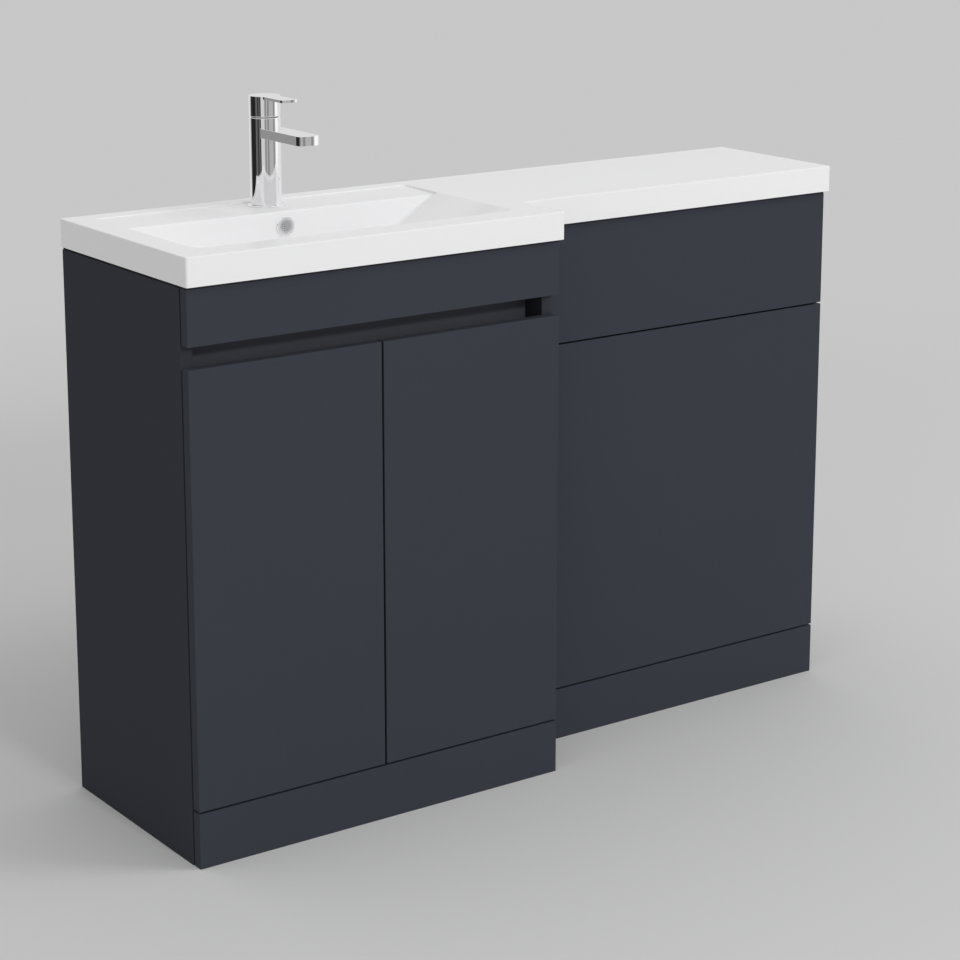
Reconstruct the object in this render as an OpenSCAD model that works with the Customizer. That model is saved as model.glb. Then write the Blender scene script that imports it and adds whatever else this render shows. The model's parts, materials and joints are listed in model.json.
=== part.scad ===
// Compact vanity unit: a two-door basin cabinet, the shallower back-to-wall cabinet beside it,
// and one L-shaped basin top over both, with a single-lever mixer tap.
// Millimetres. Inside the modules x = 0 is the outer left side, y = 0 the face of the doors,
// z = 0 the floor, and y grows towards the wall.

/* [Cabinets] */
// Width of the basin cabinet
vanity_w = 600; // [560:10:700]
// Width of the back-to-wall cabinet
wc_w = 600; // [450:10:700]
// Height of both cabinets without the top
cabinet_h = 800; // [760:10:860]
// Depth from the face of the doors to the wall
cabinet_d = 352; // [345:1:400]
// How far the back-to-wall face stands behind the doors
wc_setback = 101; // [80:1:120]
// Thickness of the carcass boards
panel_t = 18; // [16:1:20]
// Thickness of the doors, fascia, plinths and loose panels
front_t = 16; // [15:0.5:19]
// Gap between the fronts and the edges of the carcass
front_gap = 2; // [1.8:0.1:3]
// How much each front is narrower than its cabinet at a side
edge_inset = 1; // [0.5:0.1:2]

/* [Fronts] */
// Height of the plinths
plinth_h = 79; // [60:1:110]
// Height of the seams between fronts
seam = 2.8; // [2:0.1:4]
// Gap between the two doors
door_seam = 3.2; // [2:0.1:4]
// Height of the false drawer front
fascia_h = 76.25; // [70:0.25:90]
// Height of the gap under the top, which a black seal fills
top_gap = 3.75; // [2:0.25:4]
// Depth of the rebate for the seal along the outer sides
rebate_d = 4.5; // [3.5:0.5:5]
// Width of the seal
seal_w = 3; // [2:0.25:3]
// How far the seal stands behind the fronts
seal_back = 0.75; // [0.25:0.25:1]
// Height of the finger gap above the doors
grip_gap = 30; // [24:1:36]
// Depth of the finger gap behind the carcass edge
grip_d = 40; // [30:1:44]
// How far the finger channel reaches below the top of the doors
grip_drop = 30; // [20:1:40]
// Height of the access panel of the back-to-wall cabinet
access_h = 175.75; // [140:0.25:220]

/* [Carcass] */
// Height of the fixing rails at the wall
rail_h = 80; // [60:1:100]
// Radius of the wall screw holes in the rails
wall_hole_r = 3.25; // [2.5:0.25:4]
// Distance of the wall screw holes from the sides
wall_hole_x = 80; // [60:1:110]
// Thickness of the back panel
back_t = 8; // [6:0.5:10]
// Clear space between the back panel and the wall
service_d = 20; // [18:1:30]
// Depth of the grooves that hold the back panel
groove_d = 5; // [3:0.5:7]
// Width of the pipe opening in the back panel
pipe_w = 220; // [150:5:300]
// Height of the pipe opening in the back panel
pipe_h = 160; // [100:5:180]
// Height of the pipe opening above the floor
pipe_z = 470; // [440:5:500]
// Height of the underside of the shelf above the floor
shelf_z = 362; // [340:1:380]
// How far the shelf stands back from the carcass edge
shelf_setback = 40; // [30:1:60]
// Distance of the shelf pins from the front edge of the shelf
shelf_pin_front = 32; // [20:1:50]
// Distance of the shelf pins from the back panel
shelf_pin_rear = 55; // [30:1:70]
// Radius of the shelf pins
shelf_pin_r = 2.5; // [2:0.25:3]
// Pitch of the shelf pin holes
shelf_pitch = 32; // [25:1:40]
// Radius of the dowels
dowel_r = 4; // [3:0.5:5]
// Length of a dowel on each side of its joint
dowel_l = 11; // [8:0.5:12]
// Distance of the bolts from the front edge and the rear rail
bolt_inset = 45; // [30:1:60]
// Radius of the bolts that join the two cabinets
bolt_r = 3; // [2.5:0.25:4]
// Radius of the bolt heads
bolt_head_r = 7; // [6:0.5:9]
// Thickness of the bolt heads
bolt_head_t = 2; // [1.5:0.25:3]

/* [Hinges] */
// Distance of each hinge from the end of its door
hinge_inset = 100; // [80:1:140]
// Radius of the hinge cups
cup_r = 17.5; // [16:0.25:18.5]
// Depth of the hinge cups in the door
cup_d = 12; // [12:0.1:13]
// Wall of the hinge cups
cup_t = 1; // [0.8:0.1:1.2]
// Distance of a cup from the door's edge
cup_edge = 4; // [3.5:0.1:5]
// Distance of a hinge pin from the door's edge
pin_edge = 5.5; // [5:0.1:5.6]
// Depth of a hinge pin below the door's inner face
pin_depth = 8.5; // [8.3:0.1:8.7]
// Radius of the hinge pins
pin_r = 1.25; // [1:0.05:1.4]
// Half width of the hinge arms at their pins
arm_half = 3.9; // [3:0.1:4.2]
// Thickness of the hinge arms
arm_t = 1.6; // [1.2:0.1:1.8]
// Length of the hinge arms behind the carcass edge
arm_l = 58; // [50:1:75]
// Thickness of the mounting plates
plate_t = 2.4; // [2:0.1:3]
// Distance of the mounting plates behind the carcass edge
plate_back = 28; // [24:1:32]
// Radius of the hinge screws
screw_r = 1.9; // [1.6:0.1:2]
// Length of the hinge screws
screw_l = 10; // [9:0.5:11]

/* [Basin top] */
// Thickness of the top at its rim
top_h = 40; // [35:1:50]
// Thickness of the slab over the hollow underside
slab_t = 14; // [11:0.5:18]
// Width of the solid rim under the top
rim_w = 12; // [10:1:16]
// Radius of the upright corners of the top
top_corner_r = 3; // [2:0.5:6]
// How far the top stands out past the doors
top_front = 8; // [4:0.5:12]
// How far the top stands out past the back-to-wall face
top_wc_front = 9.5; // [5:0.5:14]
// How far the top stands out past each side
top_side = 2.5; // [1:0.5:5]
// Width of the rim left of the bowl
bowl_side_rim = 39.5; // [35:0.5:60]
// Width of the bowl at its rim
bowl_w = 515; // [440:1:520]
// Width of the rim in front of the bowl
bowl_front_rim = 49; // [44:0.5:56]
// Front to back length of the tap deck behind the bowl
deck_l = 80.5; // [79:0.5:95]
// Depth of the bowl below the top
bowl_depth = 95; // [85:1:100]
// Run of the sloping ends of the bowl
end_run = 167; // [120:1:175]
// Run of the sloping front of the bowl
front_run = 56; // [40:1:62]
// Radius where the walls of the bowl meet its floor
floor_r = 18; // [14:1:24]
// Radius of the front corners of the bowl
bowl_corner_r = 20; // [12:1:30]
// Radius of the rear corners of the bowl and the tap deck
rear_corner_r = 5; // [3:0.5:8]
// Wall of the bowl
shell_t = 8; // [6:0.5:10]
// Width of the raised ledge at the wall behind the tap
ledge_w = 30; // [26:1:34]
// Drop of the tap deck below the top
deck_drop = 3; // [1.5:0.5:5]
// Depth of the overflow below the top
overflow_z = 25; // [20:0.5:30]
// Radius of the overflow ring
overflow_r = 14.75; // [13:0.25:16]
// Radius of the overflow hole
overflow_hole_r = 10.5; // [9:0.25:11]

/* [Waste] */
// Radius of the waste hole
waste_hole_r = 22.5; // [21.5:0.25:24]
// Radius of the threaded waste tail
waste_r = 20.9; // [19:0.1:21]
// Wall of the waste tail
waste_t = 2.5; // [2:0.1:3.5]
// Length of the waste below the bowl
waste_l = 80; // [65:1:100]
// Radius of the waste flange
flange_r = 32; // [30:0.5:36]
// Thickness of the waste flange
flange_t = 2.5; // [2:0.25:4]
// Radius of the plug
plug_r = 29; // [26:0.5:29.5]
// Radius of the plug's stem
stem_r = 4; // [3:0.25:5]
// Thickness of the seal under the waste flange
seal_t = 1.5; // [1:0.25:2]
// Thickness of the gasket above the waste nut
gasket_t = 3; // [2:0.25:4]
// Height of the waste nut
waste_nut_h = 8; // [6:0.5:10]
// Travel of the plug
plug_travel = 8; // [5:0.5:10]

/* [Tap] */
// Distance of the tap from the back of the bowl
tap_back = 52.5; // [45:0.5:55]
// Radius of the tap hole
tap_hole_r = 17.5; // [16:0.25:19]
// Radius of the tap body
tap_r = 22.5; // [21:0.25:25]
// Radius of the base ring
base_r = 26.5; // [25:0.25:30]
// Thickness of the base ring
base_t = 3; // [2:0.25:5]
// Height of the tap body up to the handle joint, above the deck
body_h = 128.5; // [120:0.5:145]
// Gap of the handle joint
joint_gap = 1; // [0.8:0.1:1.5]
// Depth of the cartridge in the tap body
cartridge_d = 29.5; // [27:0.5:33]
// Height of the handle
handle_h = 29.5; // [27:0.5:34]
// Reach of the spout from the tap's axis
spout_reach = 125; // [100:1:140]
// Half width of the spout
spout_half = 17; // [14:0.5:19]
// Thickness of the spout
spout_t = 13.5; // [12:0.5:16]
// Height of the underside of the spout above the deck
spout_z = 100.5; // [92:0.5:102]
// Reach of the lever from the tap's axis
lever_reach = 71.5; // [60:0.5:90]
// Half width of the lever
lever_half = 13; // [8:0.5:15]
// Thickness of the lever
lever_t = 3.75; // [3.25:0.25:6]
// Lift of the handle in degrees
lift = 22; // [15:1:24]
// Radius of the aerator
aerator_r = 11; // [9:0.25:12]
// Distance of the aerator from the tip of the spout
aerator_inset = 20; // [17:0.5:24]
// Wall of the hollow handle
cap_wall = 3; // [2.5:0.25:3]
// Radius of the stud under the tap
stud_r = 4; // [3:0.25:4.5]
// Length of the stud under the tap
stud_l = 62; // [55:1:75]
// Radius of the two water inlets
port_r = 4.5; // [4:0.25:5]
// Depth of the two water inlets
port_l = 15; // [12:0.5:18]
// Thickness of the rubber washer under the deck
washer_t = 3; // [2:0.25:4]
// Thickness of the clamp plate under the washer
clamp_t = 2.5; // [2:0.25:3]
// Height of the nut on the stud
tap_nut_h = 10; // [8:0.5:12]

/* [Hidden] */
$fn = 64;
fit = 0.1;
running_fit = 0.05;
press_gap = 0.02;
clear = 0.3;
anthracite = [0.22, 0.23, 0.26];
white = [0.94, 0.94, 0.93];
chrome = [0.78, 0.79, 0.8];
steel = [0.66, 0.67, 0.68];
brass = [0.78, 0.66, 0.38];
timber = [0.8, 0.66, 0.46];
black = [0.1, 0.1, 0.1];
clear_plastic = [0.85, 0.87, 0.88];

total_w = vanity_w + wc_w;
carcass_y = front_t + front_gap;
wc_carcass_y = wc_setback + carcass_y;
fascia_z1 = cabinet_h - top_gap;
fascia_z0 = fascia_z1 - fascia_h;
door_z0 = plinth_h + seam;
door_z1 = fascia_z0 - grip_gap;
door_h = door_z1 - door_z0;
door_w = (vanity_w - 2 * edge_inset - door_seam) / 2;
board_lap = 1.5;
bottom_z0 = door_z0 - board_lap;
access_z0 = fascia_z1 - access_h;
lower_z1 = access_z0 - seam;
back_y = cabinet_d - service_d - back_t;
rail_y = cabinet_d - panel_t;

top_z = cabinet_h + top_h;
deck_z = top_z - deck_drop;
bowl_x0 = bowl_side_rim - top_side;
bowl_x1 = bowl_x0 + bowl_w;
bowl_y0 = bowl_front_rim - top_front;
bowl_y1 = cabinet_d - ledge_w - deck_l;
bowl_cx = (bowl_x0 + bowl_x1) / 2;
floor_z = top_z - bowl_depth;
floor_under_z = floor_z - shell_t;
deck_y1 = cabinet_d - ledge_w;
rib_half = panel_t;
overflow_zc = top_z - overflow_z;
duct_d = 10;
duct_half = 16;
duct_wall = 8;
duct_sink = 1;
overflow_land = 0.5;
duct_y = bowl_y1 + duct_wall;
channel_h = 11;
channel_w = 24;
boss_z = floor_under_z + duct_sink - channel_h - duct_wall;
waste_y = (bowl_y0 + front_run + bowl_y1 - floor_r) / 2;

grip_floor_z = door_z1 - grip_drop;
web_y = carcass_y + grip_d;
web_top = boss_z + channel_h;

hinge_zs = [door_z0 + hinge_inset, door_z1 - hinge_inset];
pin_x = edge_inset + pin_edge;
pin_y = front_t - pin_depth;
cup_x = edge_inset + cup_edge + cup_r;
knuckle_wall = 0.85;
knuckle_r = pin_r + knuckle_wall;
knuckle_gap = 0.2;
ear_x = pin_x - knuckle_r - knuckle_gap - cup_t;
ear_w = cup_r / 2;
ear_reach = 3.4;
ear_half = arm_half + ear_reach;
pin_half = ear_half - cup_t;
arm_x = panel_t + plate_t;
arm_y = pin_y - knuckle_r + knuckle_gap;
foot_half = 8;
plate_y = carcass_y + plate_back;
plate_w = 18;
plate_rim = 1;
plate_half = foot_half + plate_rim;
plate_wing_half = 22;
plate_wing_w = plate_w - 4 * plate_rim;
plate_screw_z = 16;
cup_wing_half = 29;
cup_wing_shift = 3;
cup_wing_x = cup_x + cup_wing_shift;
cup_wing_w = 14;
cup_screw_z = 24;
cup_screw_x = cup_wing_x + cup_wing_w / 2;
screw_head_r = 1.9 * screw_r;
cup_head_t = 0.6;
plate_head_t = 1.4;
buffer_r = 4;
buffer_inset = 14;
buffer_x = edge_inset + door_w - buffer_inset;
shelf_play = 0.8;

dowel_span = 45;
vanity_dowel_at = [
    [carcass_y + dowel_span, bottom_z0 + panel_t / 2],
    [back_y - dowel_span, bottom_z0 + panel_t / 2],
    [rail_y + panel_t / 2, cabinet_h - rail_h / 4],
    [rail_y + panel_t / 2, cabinet_h - 3 * rail_h / 4],
    [carcass_y + grip_d / 2, grip_floor_z - front_t / 2],
    [web_y + front_t / 2, web_top - dowel_span / 2]];
wc_rail_d = 80;
wc_dowel_at = [
    [wc_carcass_y + wc_rail_d / 4, bottom_z0 + panel_t / 2],
    [wc_carcass_y + 3 * wc_rail_d / 4, bottom_z0 + panel_t / 2],
    [rail_y + panel_t / 2, cabinet_h - rail_h / 4],
    [rail_y + panel_t / 2, cabinet_h - 3 * rail_h / 4],
    [wc_carcass_y + panel_t / 2, lower_z1 + seam / 2 - rail_h / 4],
    [wc_carcass_y + panel_t / 2, lower_z1 + seam / 2 + rail_h / 4]];
front_dowel_zs = [plinth_h / 4, 3 * plinth_h / 4, fascia_z0 + fascia_h / 5, fascia_z1 - fascia_h / 5];
clip_zs = [plinth_h / 4, 3 * plinth_h / 4, door_z0 + dowel_span, (door_z0 + lower_z1) / 2,
    lower_z1 - dowel_span, access_z0 + dowel_span, fascia_z1 - dowel_span];
shelf_pin_ys = [carcass_y + shelf_setback + shelf_pin_front, back_y - shelf_pin_rear];
shelf_pin_l = 8;
shelf_pin_rows = [-2, -1, 0, 1, 2];
bolt_ys = [wc_carcass_y + bolt_inset, rail_y - bolt_inset];
bolt_zs = [cabinet_h / 4, 2 * cabinet_h / 3];

ring_play = 0.2;
ring_wall = 2;
ring_l = 6;
ring_t = 2.8;
grille_z = 0.6;
grille_t = 1.2;
grille_pitch = 3;
grille_hole_r = 0.9;

tap_x = bowl_cx;
tap_y = bowl_y1 + tap_back;
shoulder_z = deck_z + body_h;
handle_z0 = shoulder_z + joint_gap;
handle_z1 = handle_z0 + handle_h;
neck_step = 8.5;
neck_r = tap_r - neck_step;
neck_h = 16;
neck_wall = 1.5;
cartridge_r = neck_r - neck_wall;
body_wall = 5.4;
seat_r = tap_r - body_wall;
seat_z = shoulder_z - cartridge_d;
nut_skirt = 15.5;
ring_step = 4.3;
ring_r = tap_r - ring_step;
ring_h = 5.2;
lever_pin_step = 6.6;
lever_pin_y = tap_r - lever_pin_step;
lever_pin_rise = 3.5;
lever_pin_z = shoulder_z + lever_pin_rise;
lever_pin_r = 1.15;
lever_pin_half = 5.2;
lug_half = 2.5;
lug_wall = 0.6;
lug_r = lever_pin_r + lug_wall;
roof_z = handle_z1 - lever_t;
cartridge_sink = 6;
cartridge_top = shoulder_z + neck_h - cartridge_sink;
aerator_y = spout_reach - aerator_inset;
aerator_h = spout_t / 2;
spout_z0 = deck_z + spout_z;
channel_half = 6;
channel_t = 5;
base_z = deck_z + base_t;
stud_y = 9;
stud_in = 11;
port_x = 2 * port_r;
port_y = -5;
slot_play = 1;
slot_half = port_x + port_r + slot_play;
spout_bow = 5;
spout_corner = 7;
lever_bow = 2;
lever_corner = 4;
base_bevel = 1;
base_lap = 2;
aerator_pitch = 3.2;
aerator_hole_r = 1;
tap_nut_wall = 3.5;
slot_y = 4;
under_z = top_z - slab_t;
waste_seat_z = floor_z + seal_t;
flange_bevel = 1;
plug_bevel = 1.5;
plug_h = 5;
spider_boss = 3;
spider_z = boss_z - gasket_t - waste_nut_h;
spider_h = 8;
spider_t = 3;
relief_h = 2;
relief_d = 0.8;

module place() {
    translate([-total_w / 2, (top_front - cabinet_d) / 2, 0]) children();
}

module along_x(at, r, l) {
    translate(at) rotate([0, 90, 0]) cylinder(r = r, h = l);
}

module along_y(at, r, l) {
    translate(at) rotate([-90, 0, 0]) cylinder(r = r, h = l);
}

module box(lo, hi) {
    translate(lo) cube(hi - lo);
}

// Two copies, one for each side of the basin cabinet
module both_sides() {
    children();
    flip_vanity() children();
}

module flip_vanity() {
    translate([vanity_w, 0, 0]) mirror([1, 0, 0]) children();
}

module flip_wc() {
    translate([vanity_w + total_w, 0, 0]) mirror([1, 0, 0]) children();
}

// Rectangle with its own radius at the front and at the rear corners
module rounded_plan(x0, y0, x1, y1, front_r, rear_r) {
    translate([x0 + front_r, y0]) square([x1 - x0 - 2 * front_r, y1 - y0 - rear_r]);
    translate([x0, y0 + front_r]) square([x1 - x0, y1 - y0 - front_r - rear_r]);
    translate([x0 + rear_r, y1 - 2 * rear_r]) square([x1 - x0 - 2 * rear_r, 2 * rear_r]);
    for (x = [x0 + front_r, x1 - front_r]) translate([x, y0 + front_r]) circle(front_r);
    for (x = [x0 + rear_r, x1 - rear_r]) translate([x, y1 - rear_r]) circle(rear_r);
}

// Blind holes from the inner face of the left side, or their dowels
module cross_dowels(points, x0, r, l_side, l_board) {
    for (p = points) along_x([x0 + panel_t - l_side, p[0], p[1]], r, l_side + l_board);
}

// Dowels or their holes across the gap behind a front
module front_fixings(zs, x, y, r, l_front, l_back) {
    for (z = zs) along_y([x, y - l_front, z], r, l_front + front_gap + l_back);
}

// Rebate along the outer top edge of a side for the seal
module seal_rebate(x, y) {
    box([x - 1, y - 1, fascia_z1], [x + rebate_d, cabinet_d + 1, cabinet_h + 1]);
}

// Left side of the basin cabinet, with every hole that its neighbours need
module vanity_side_blank() {
    difference() {
        box([0, carcass_y, 0], [panel_t, cabinet_d, cabinet_h]);
        seal_rebate(0, carcass_y);
        cross_dowels(vanity_dowel_at, 0, dowel_r + fit, dowel_l + clear, dowel_l);
        front_fixings(front_dowel_zs, panel_t / 2, front_t, dowel_r + fit, 0, dowel_l + clear);
        box([panel_t - groove_d, back_y - fit, bottom_z0 - clear],
            [panel_t + 1, back_y + back_t + fit, cabinet_h - rail_h + clear]);
        for (y = shelf_pin_ys, row = shelf_pin_rows)
            along_x([panel_t - shelf_pin_l - clear, y, shelf_z - shelf_pin_r + row * shelf_pitch],
                shelf_pin_r + fit, shelf_pin_l + 1);
        for (z = hinge_zs, s = [-1, 1])
            along_x([panel_t - screw_l, plate_y + plate_w / 2, z + s * plate_screw_z], screw_r + fit,
                screw_l + 1);
    }
}

module vanity_side_left() {
    color(anthracite) place() vanity_side_blank();
}

module vanity_side_right() {
    color(anthracite) place() difference() {
        flip_vanity() vanity_side_blank();
        unit_bolt_holes();
    }
}

module unit_bolt_holes() {
    for (y = bolt_ys, z = bolt_zs) along_x([vanity_w - panel_t - 1, y, z], bolt_r + fit, 2 * panel_t + 2);
}

module board_dowel_holes(points, x0, x1) {
    for (p = points) {
        along_x([x0 - 1, p[0], p[1]], dowel_r + fit, dowel_l + clear + 1);
        along_x([x1 - dowel_l - clear, p[0], p[1]], dowel_r + fit, dowel_l + clear + 1);
    }
}

module vanity_bottom() {
    color(anthracite) place() difference() {
        box([panel_t, carcass_y, bottom_z0], [vanity_w - panel_t, back_y, bottom_z0 + panel_t]);
        board_dowel_holes(vanity_dowel_at, panel_t, vanity_w - panel_t);
    }
}

module vanity_back() {
    lap = groove_d - clear;
    color(anthracite) place() difference() {
        box([panel_t - lap, back_y, bottom_z0],
            [vanity_w - panel_t + lap, back_y + back_t, cabinet_h - rail_h]);
        box([(vanity_w - pipe_w) / 2, back_y - 1, pipe_z],
            [(vanity_w + pipe_w) / 2, back_y + back_t + 1, pipe_z + pipe_h]);
    }
}

// Rail between two sides, with its wall screw holes and dowel holes
module rear_rail(x0, x1, points) {
    difference() {
        box([x0, rail_y, cabinet_h - rail_h], [x1, cabinet_d, cabinet_h]);
        for (x = [x0 + wall_hole_x, x1 - wall_hole_x])
            along_y([x, rail_y - 1, cabinet_h - rail_h / 2], wall_hole_r, panel_t + 2);
        board_dowel_holes(points, x0, x1);
    }
}

module vanity_rear_rail() {
    color(anthracite) place() rear_rail(panel_t, vanity_w - panel_t, vanity_dowel_at);
}

// Channel behind the doors that the fingers reach into
module finger_rail() {
    color(anthracite) place() difference() {
        union() {
            box([panel_t, carcass_y, grip_floor_z - front_t], [vanity_w - panel_t, web_y + 1, grip_floor_z]);
            box([panel_t, web_y, grip_floor_z - front_t], [vanity_w - panel_t, web_y + front_t, web_top]);
        }
        board_dowel_holes(vanity_dowel_at, panel_t, vanity_w - panel_t);
    }
}

module shelf() {
    color(anthracite) place()
        box([panel_t + shelf_play, carcass_y + shelf_setback, shelf_z],
            [vanity_w - panel_t - shelf_play, back_y - clear, shelf_z + panel_t]);
}

module shelf_pins() {
    color(steel) place() both_sides()
        for (y = shelf_pin_ys)
            along_x([panel_t - shelf_pin_l, y, shelf_z - shelf_pin_r], shelf_pin_r, 2 * shelf_pin_l);
}

module fascia() {
    color(anthracite) place() difference() {
        box([edge_inset, 0, fascia_z0], [vanity_w - edge_inset, front_t, fascia_z1]);
        both_sides() front_fixings(front_dowel_zs, panel_t / 2, front_t, dowel_r + fit, dowel_l + clear, 0);
    }
}

module vanity_plinth() {
    color(anthracite) place() difference() {
        box([edge_inset, 0, 0], [vanity_w - edge_inset, front_t, plinth_h]);
        both_sides() front_fixings(front_dowel_zs, panel_t / 2, front_t, dowel_r + fit, dowel_l + clear, 0);
    }
}

module vanity_dowels() {
    color(timber) place() both_sides() cross_dowels(vanity_dowel_at, 0, dowel_r, dowel_l, dowel_l);
}

module front_dowels() {
    color(timber) place() both_sides()
        front_fixings(front_dowel_zs, panel_t / 2, front_t, dowel_r, dowel_l, dowel_l);
}

// Space that a hinge cup fills in its door, seen from the door's inner face
module cup_form(grow, depth) {
    along_y([cup_x, front_t - depth, 0], cup_r + grow, depth);
    box([ear_x - grow, front_t - depth, -ear_half - grow], [ear_x + ear_w, front_t, ear_half + grow]);
}

module door_blank() {
    difference() {
        box([edge_inset, 0, door_z0], [edge_inset + door_w, front_t, door_z1]);
        for (z = hinge_zs) translate([0, 0, z]) {
            translate([0, 1, 0]) cup_form(fit, cup_d + 1 + fit);
            for (s = [-1, 1])
                along_y([cup_screw_x, front_t - screw_l, s * cup_screw_z], screw_r + fit, screw_l + 1);
        }
    }
}

module door_left() {
    color(anthracite) place() door_blank();
}

module door_right() {
    color(anthracite) place() flip_vanity() door_blank();
}

// One hinge cup with its wings and the ears that hold its pin
module hinge_cup() {
    difference() {
        union() {
            cup_form(0, cup_d);
            box([cup_wing_x, front_t, -cup_wing_half],
                [cup_wing_x + cup_wing_w, front_t + cup_t, cup_wing_half]);
            along_y([cup_x, front_t, 0], cup_r + cup_t, cup_t);
        }
        along_y([cup_x, front_t - cup_d + cup_t, 0], cup_r - cup_t, cup_d + 1);
        box([ear_x + cup_t, front_t - cup_d + cup_t, -arm_half - clear],
            [ear_x + ear_w + 1, front_t + cup_t + 1, arm_half + clear]);
        for (s = [-1, 1])
            along_y([cup_screw_x, front_t - 1, s * cup_screw_z], screw_r + fit, cup_t + 2);
        translate([pin_x, pin_y, -pin_half - press_gap])
            cylinder(r = pin_r + press_gap, h = 2 * (pin_half + press_gap));
    }
}

module at_hinges() {
    for (z = hinge_zs) translate([0, 0, z]) children();
}

module hinge_cups_left() {
    color(steel) place() at_hinges() hinge_cup();
}

module hinge_cups_right() {
    color(steel) place() flip_vanity() at_hinges() hinge_cup();
}

module hinge_pin() {
    translate([pin_x, pin_y, -pin_half]) cylinder(r = pin_r, h = 2 * pin_half);
}

module hinge_pins_left() {
    color(steel) place() at_hinges() hinge_pin();
}

module hinge_pins_right() {
    color(steel) place() flip_vanity() at_hinges() hinge_pin();
}

module cup_screw_pair() {
    for (z = [-cup_screw_z, cup_screw_z]) {
        along_y([cup_screw_x, front_t + cup_t - screw_l, z], screw_r, screw_l);
        along_y([cup_screw_x, front_t + cup_t, z], screw_head_r, cup_head_t);
    }
}

module cup_screws_left() {
    color(steel) place() at_hinges() cup_screw_pair();
}

module cup_screws_right() {
    color(steel) place() flip_vanity() at_hinges() cup_screw_pair();
}

// Cranked arm from the pin in the cup to the plate on the side
module hinge_arm() {
    arm_end = carcass_y + arm_l;
    difference() {
        union() {
            translate([pin_x, pin_y, -arm_half]) cylinder(r = knuckle_r, h = 2 * arm_half);
            box([pin_x, arm_y, -arm_half], [arm_x + arm_t, arm_y + arm_t, arm_half]);
            box([arm_x, arm_y, -arm_half], [arm_x + arm_t, arm_end, arm_half]);
            box([arm_x, plate_y, -foot_half], [arm_x + arm_t, arm_end, foot_half]);
        }
        translate([pin_x, pin_y, -arm_half - 1]) cylinder(r = pin_r + running_fit, h = 2 * arm_half + 2);
    }
}

module hinge_arms() {
    color(steel) place() both_sides() at_hinges() hinge_arm();
}

// Plate on the side, with a wing above and below for its screws
module hinge_plate() {
    difference() {
        union() {
            box([panel_t, plate_y, -plate_half], [arm_x, carcass_y + arm_l, plate_half]);
            box([panel_t, plate_y + (plate_w - plate_wing_w) / 2, -plate_wing_half],
                [arm_x, plate_y + (plate_w + plate_wing_w) / 2, plate_wing_half]);
        }
        for (s = [-1, 1])
            along_x([panel_t - 1, plate_y + plate_w / 2, s * plate_screw_z], screw_r + fit, plate_t + 2);
    }
}

module hinge_plates() {
    color(steel) place() both_sides() at_hinges() hinge_plate();
}

module plate_screw_pair() {
    for (z = [-plate_screw_z, plate_screw_z]) {
        along_x([arm_x - screw_l, plate_y + plate_w / 2, z], screw_r, screw_l);
        along_x([arm_x, plate_y + plate_w / 2, z], screw_head_r, plate_head_t);
    }
}

module plate_screws() {
    color(steel) place() both_sides() at_hinges() plate_screw_pair();
}

// Soft dots at the free corners of a door
module buffers() {
    for (z = [bottom_z0 + panel_t / 2, grip_floor_z - front_t / 2])
        along_y([buffer_x, front_t, z], buffer_r, front_gap - clear);
}

module door_buffers_left() {
    color(clear_plastic) place() buffers();
}

module door_buffers_right() {
    color(clear_plastic) place() flip_vanity() buffers();
}

// Left side of the back-to-wall cabinet
module wc_side_blank() {
    difference() {
        box([vanity_w, wc_carcass_y, 0], [vanity_w + panel_t, cabinet_d, cabinet_h]);
        cross_dowels(wc_dowel_at, vanity_w, dowel_r + fit, dowel_l + clear, dowel_l);
        front_fixings(clip_zs, vanity_w + panel_t / 2, wc_setback + front_t, dowel_r + fit, 0,
            dowel_l + clear);
    }
}

module wc_side_left() {
    color(anthracite) place() difference() {
        wc_side_blank();
        unit_bolt_holes();
    }
}

module wc_side_right() {
    color(anthracite) place() flip_wc() difference() {
        wc_side_blank();
        seal_rebate(vanity_w, wc_carcass_y);
    }
}

module wc_rear_rail() {
    color(anthracite) place() rear_rail(vanity_w + panel_t, total_w - panel_t, wc_dowel_at);
}

module wc_middle_rail() {
    zc = lower_z1 + seam / 2;
    color(anthracite) place() difference() {
        box([vanity_w + panel_t, wc_carcass_y, zc - rail_h / 2],
            [total_w - panel_t, wc_carcass_y + panel_t, zc + rail_h / 2]);
        board_dowel_holes(wc_dowel_at, vanity_w + panel_t, total_w - panel_t);
    }
}

module wc_bottom_rail() {
    color(anthracite) place() difference() {
        box([vanity_w + panel_t, wc_carcass_y, bottom_z0],
            [total_w - panel_t, wc_carcass_y + wc_rail_d, bottom_z0 + panel_t]);
        board_dowel_holes(wc_dowel_at, vanity_w + panel_t, total_w - panel_t);
    }
}

// Front of the back-to-wall cabinet between two heights
module wc_front(z0, z1) {
    difference() {
        box([vanity_w + edge_inset, wc_setback, z0], [total_w - edge_inset, wc_setback + front_t, z1]);
        for (x = [vanity_w + panel_t / 2, total_w - panel_t / 2])
            front_fixings(clip_zs, x, wc_setback + front_t, dowel_r + fit, dowel_l + clear, 0);
    }
}

module wc_access_panel() {
    color(anthracite) place() wc_front(access_z0, fascia_z1);
}

module wc_lower_panel() {
    color(anthracite) place() wc_front(door_z0, lower_z1);
}

module wc_plinth() {
    color(anthracite) place() wc_front(0, plinth_h);
}

module wc_dowels() {
    color(timber) place() {
        cross_dowels(wc_dowel_at, vanity_w, dowel_r, dowel_l, dowel_l);
        flip_wc() cross_dowels(wc_dowel_at, vanity_w, dowel_r, dowel_l, dowel_l);
    }
}

module panel_clips() {
    color(black) place() for (x = [vanity_w + panel_t / 2, total_w - panel_t / 2])
        front_fixings(clip_zs, x, wc_setback + front_t, dowel_r, dowel_l, dowel_l);
}

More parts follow.
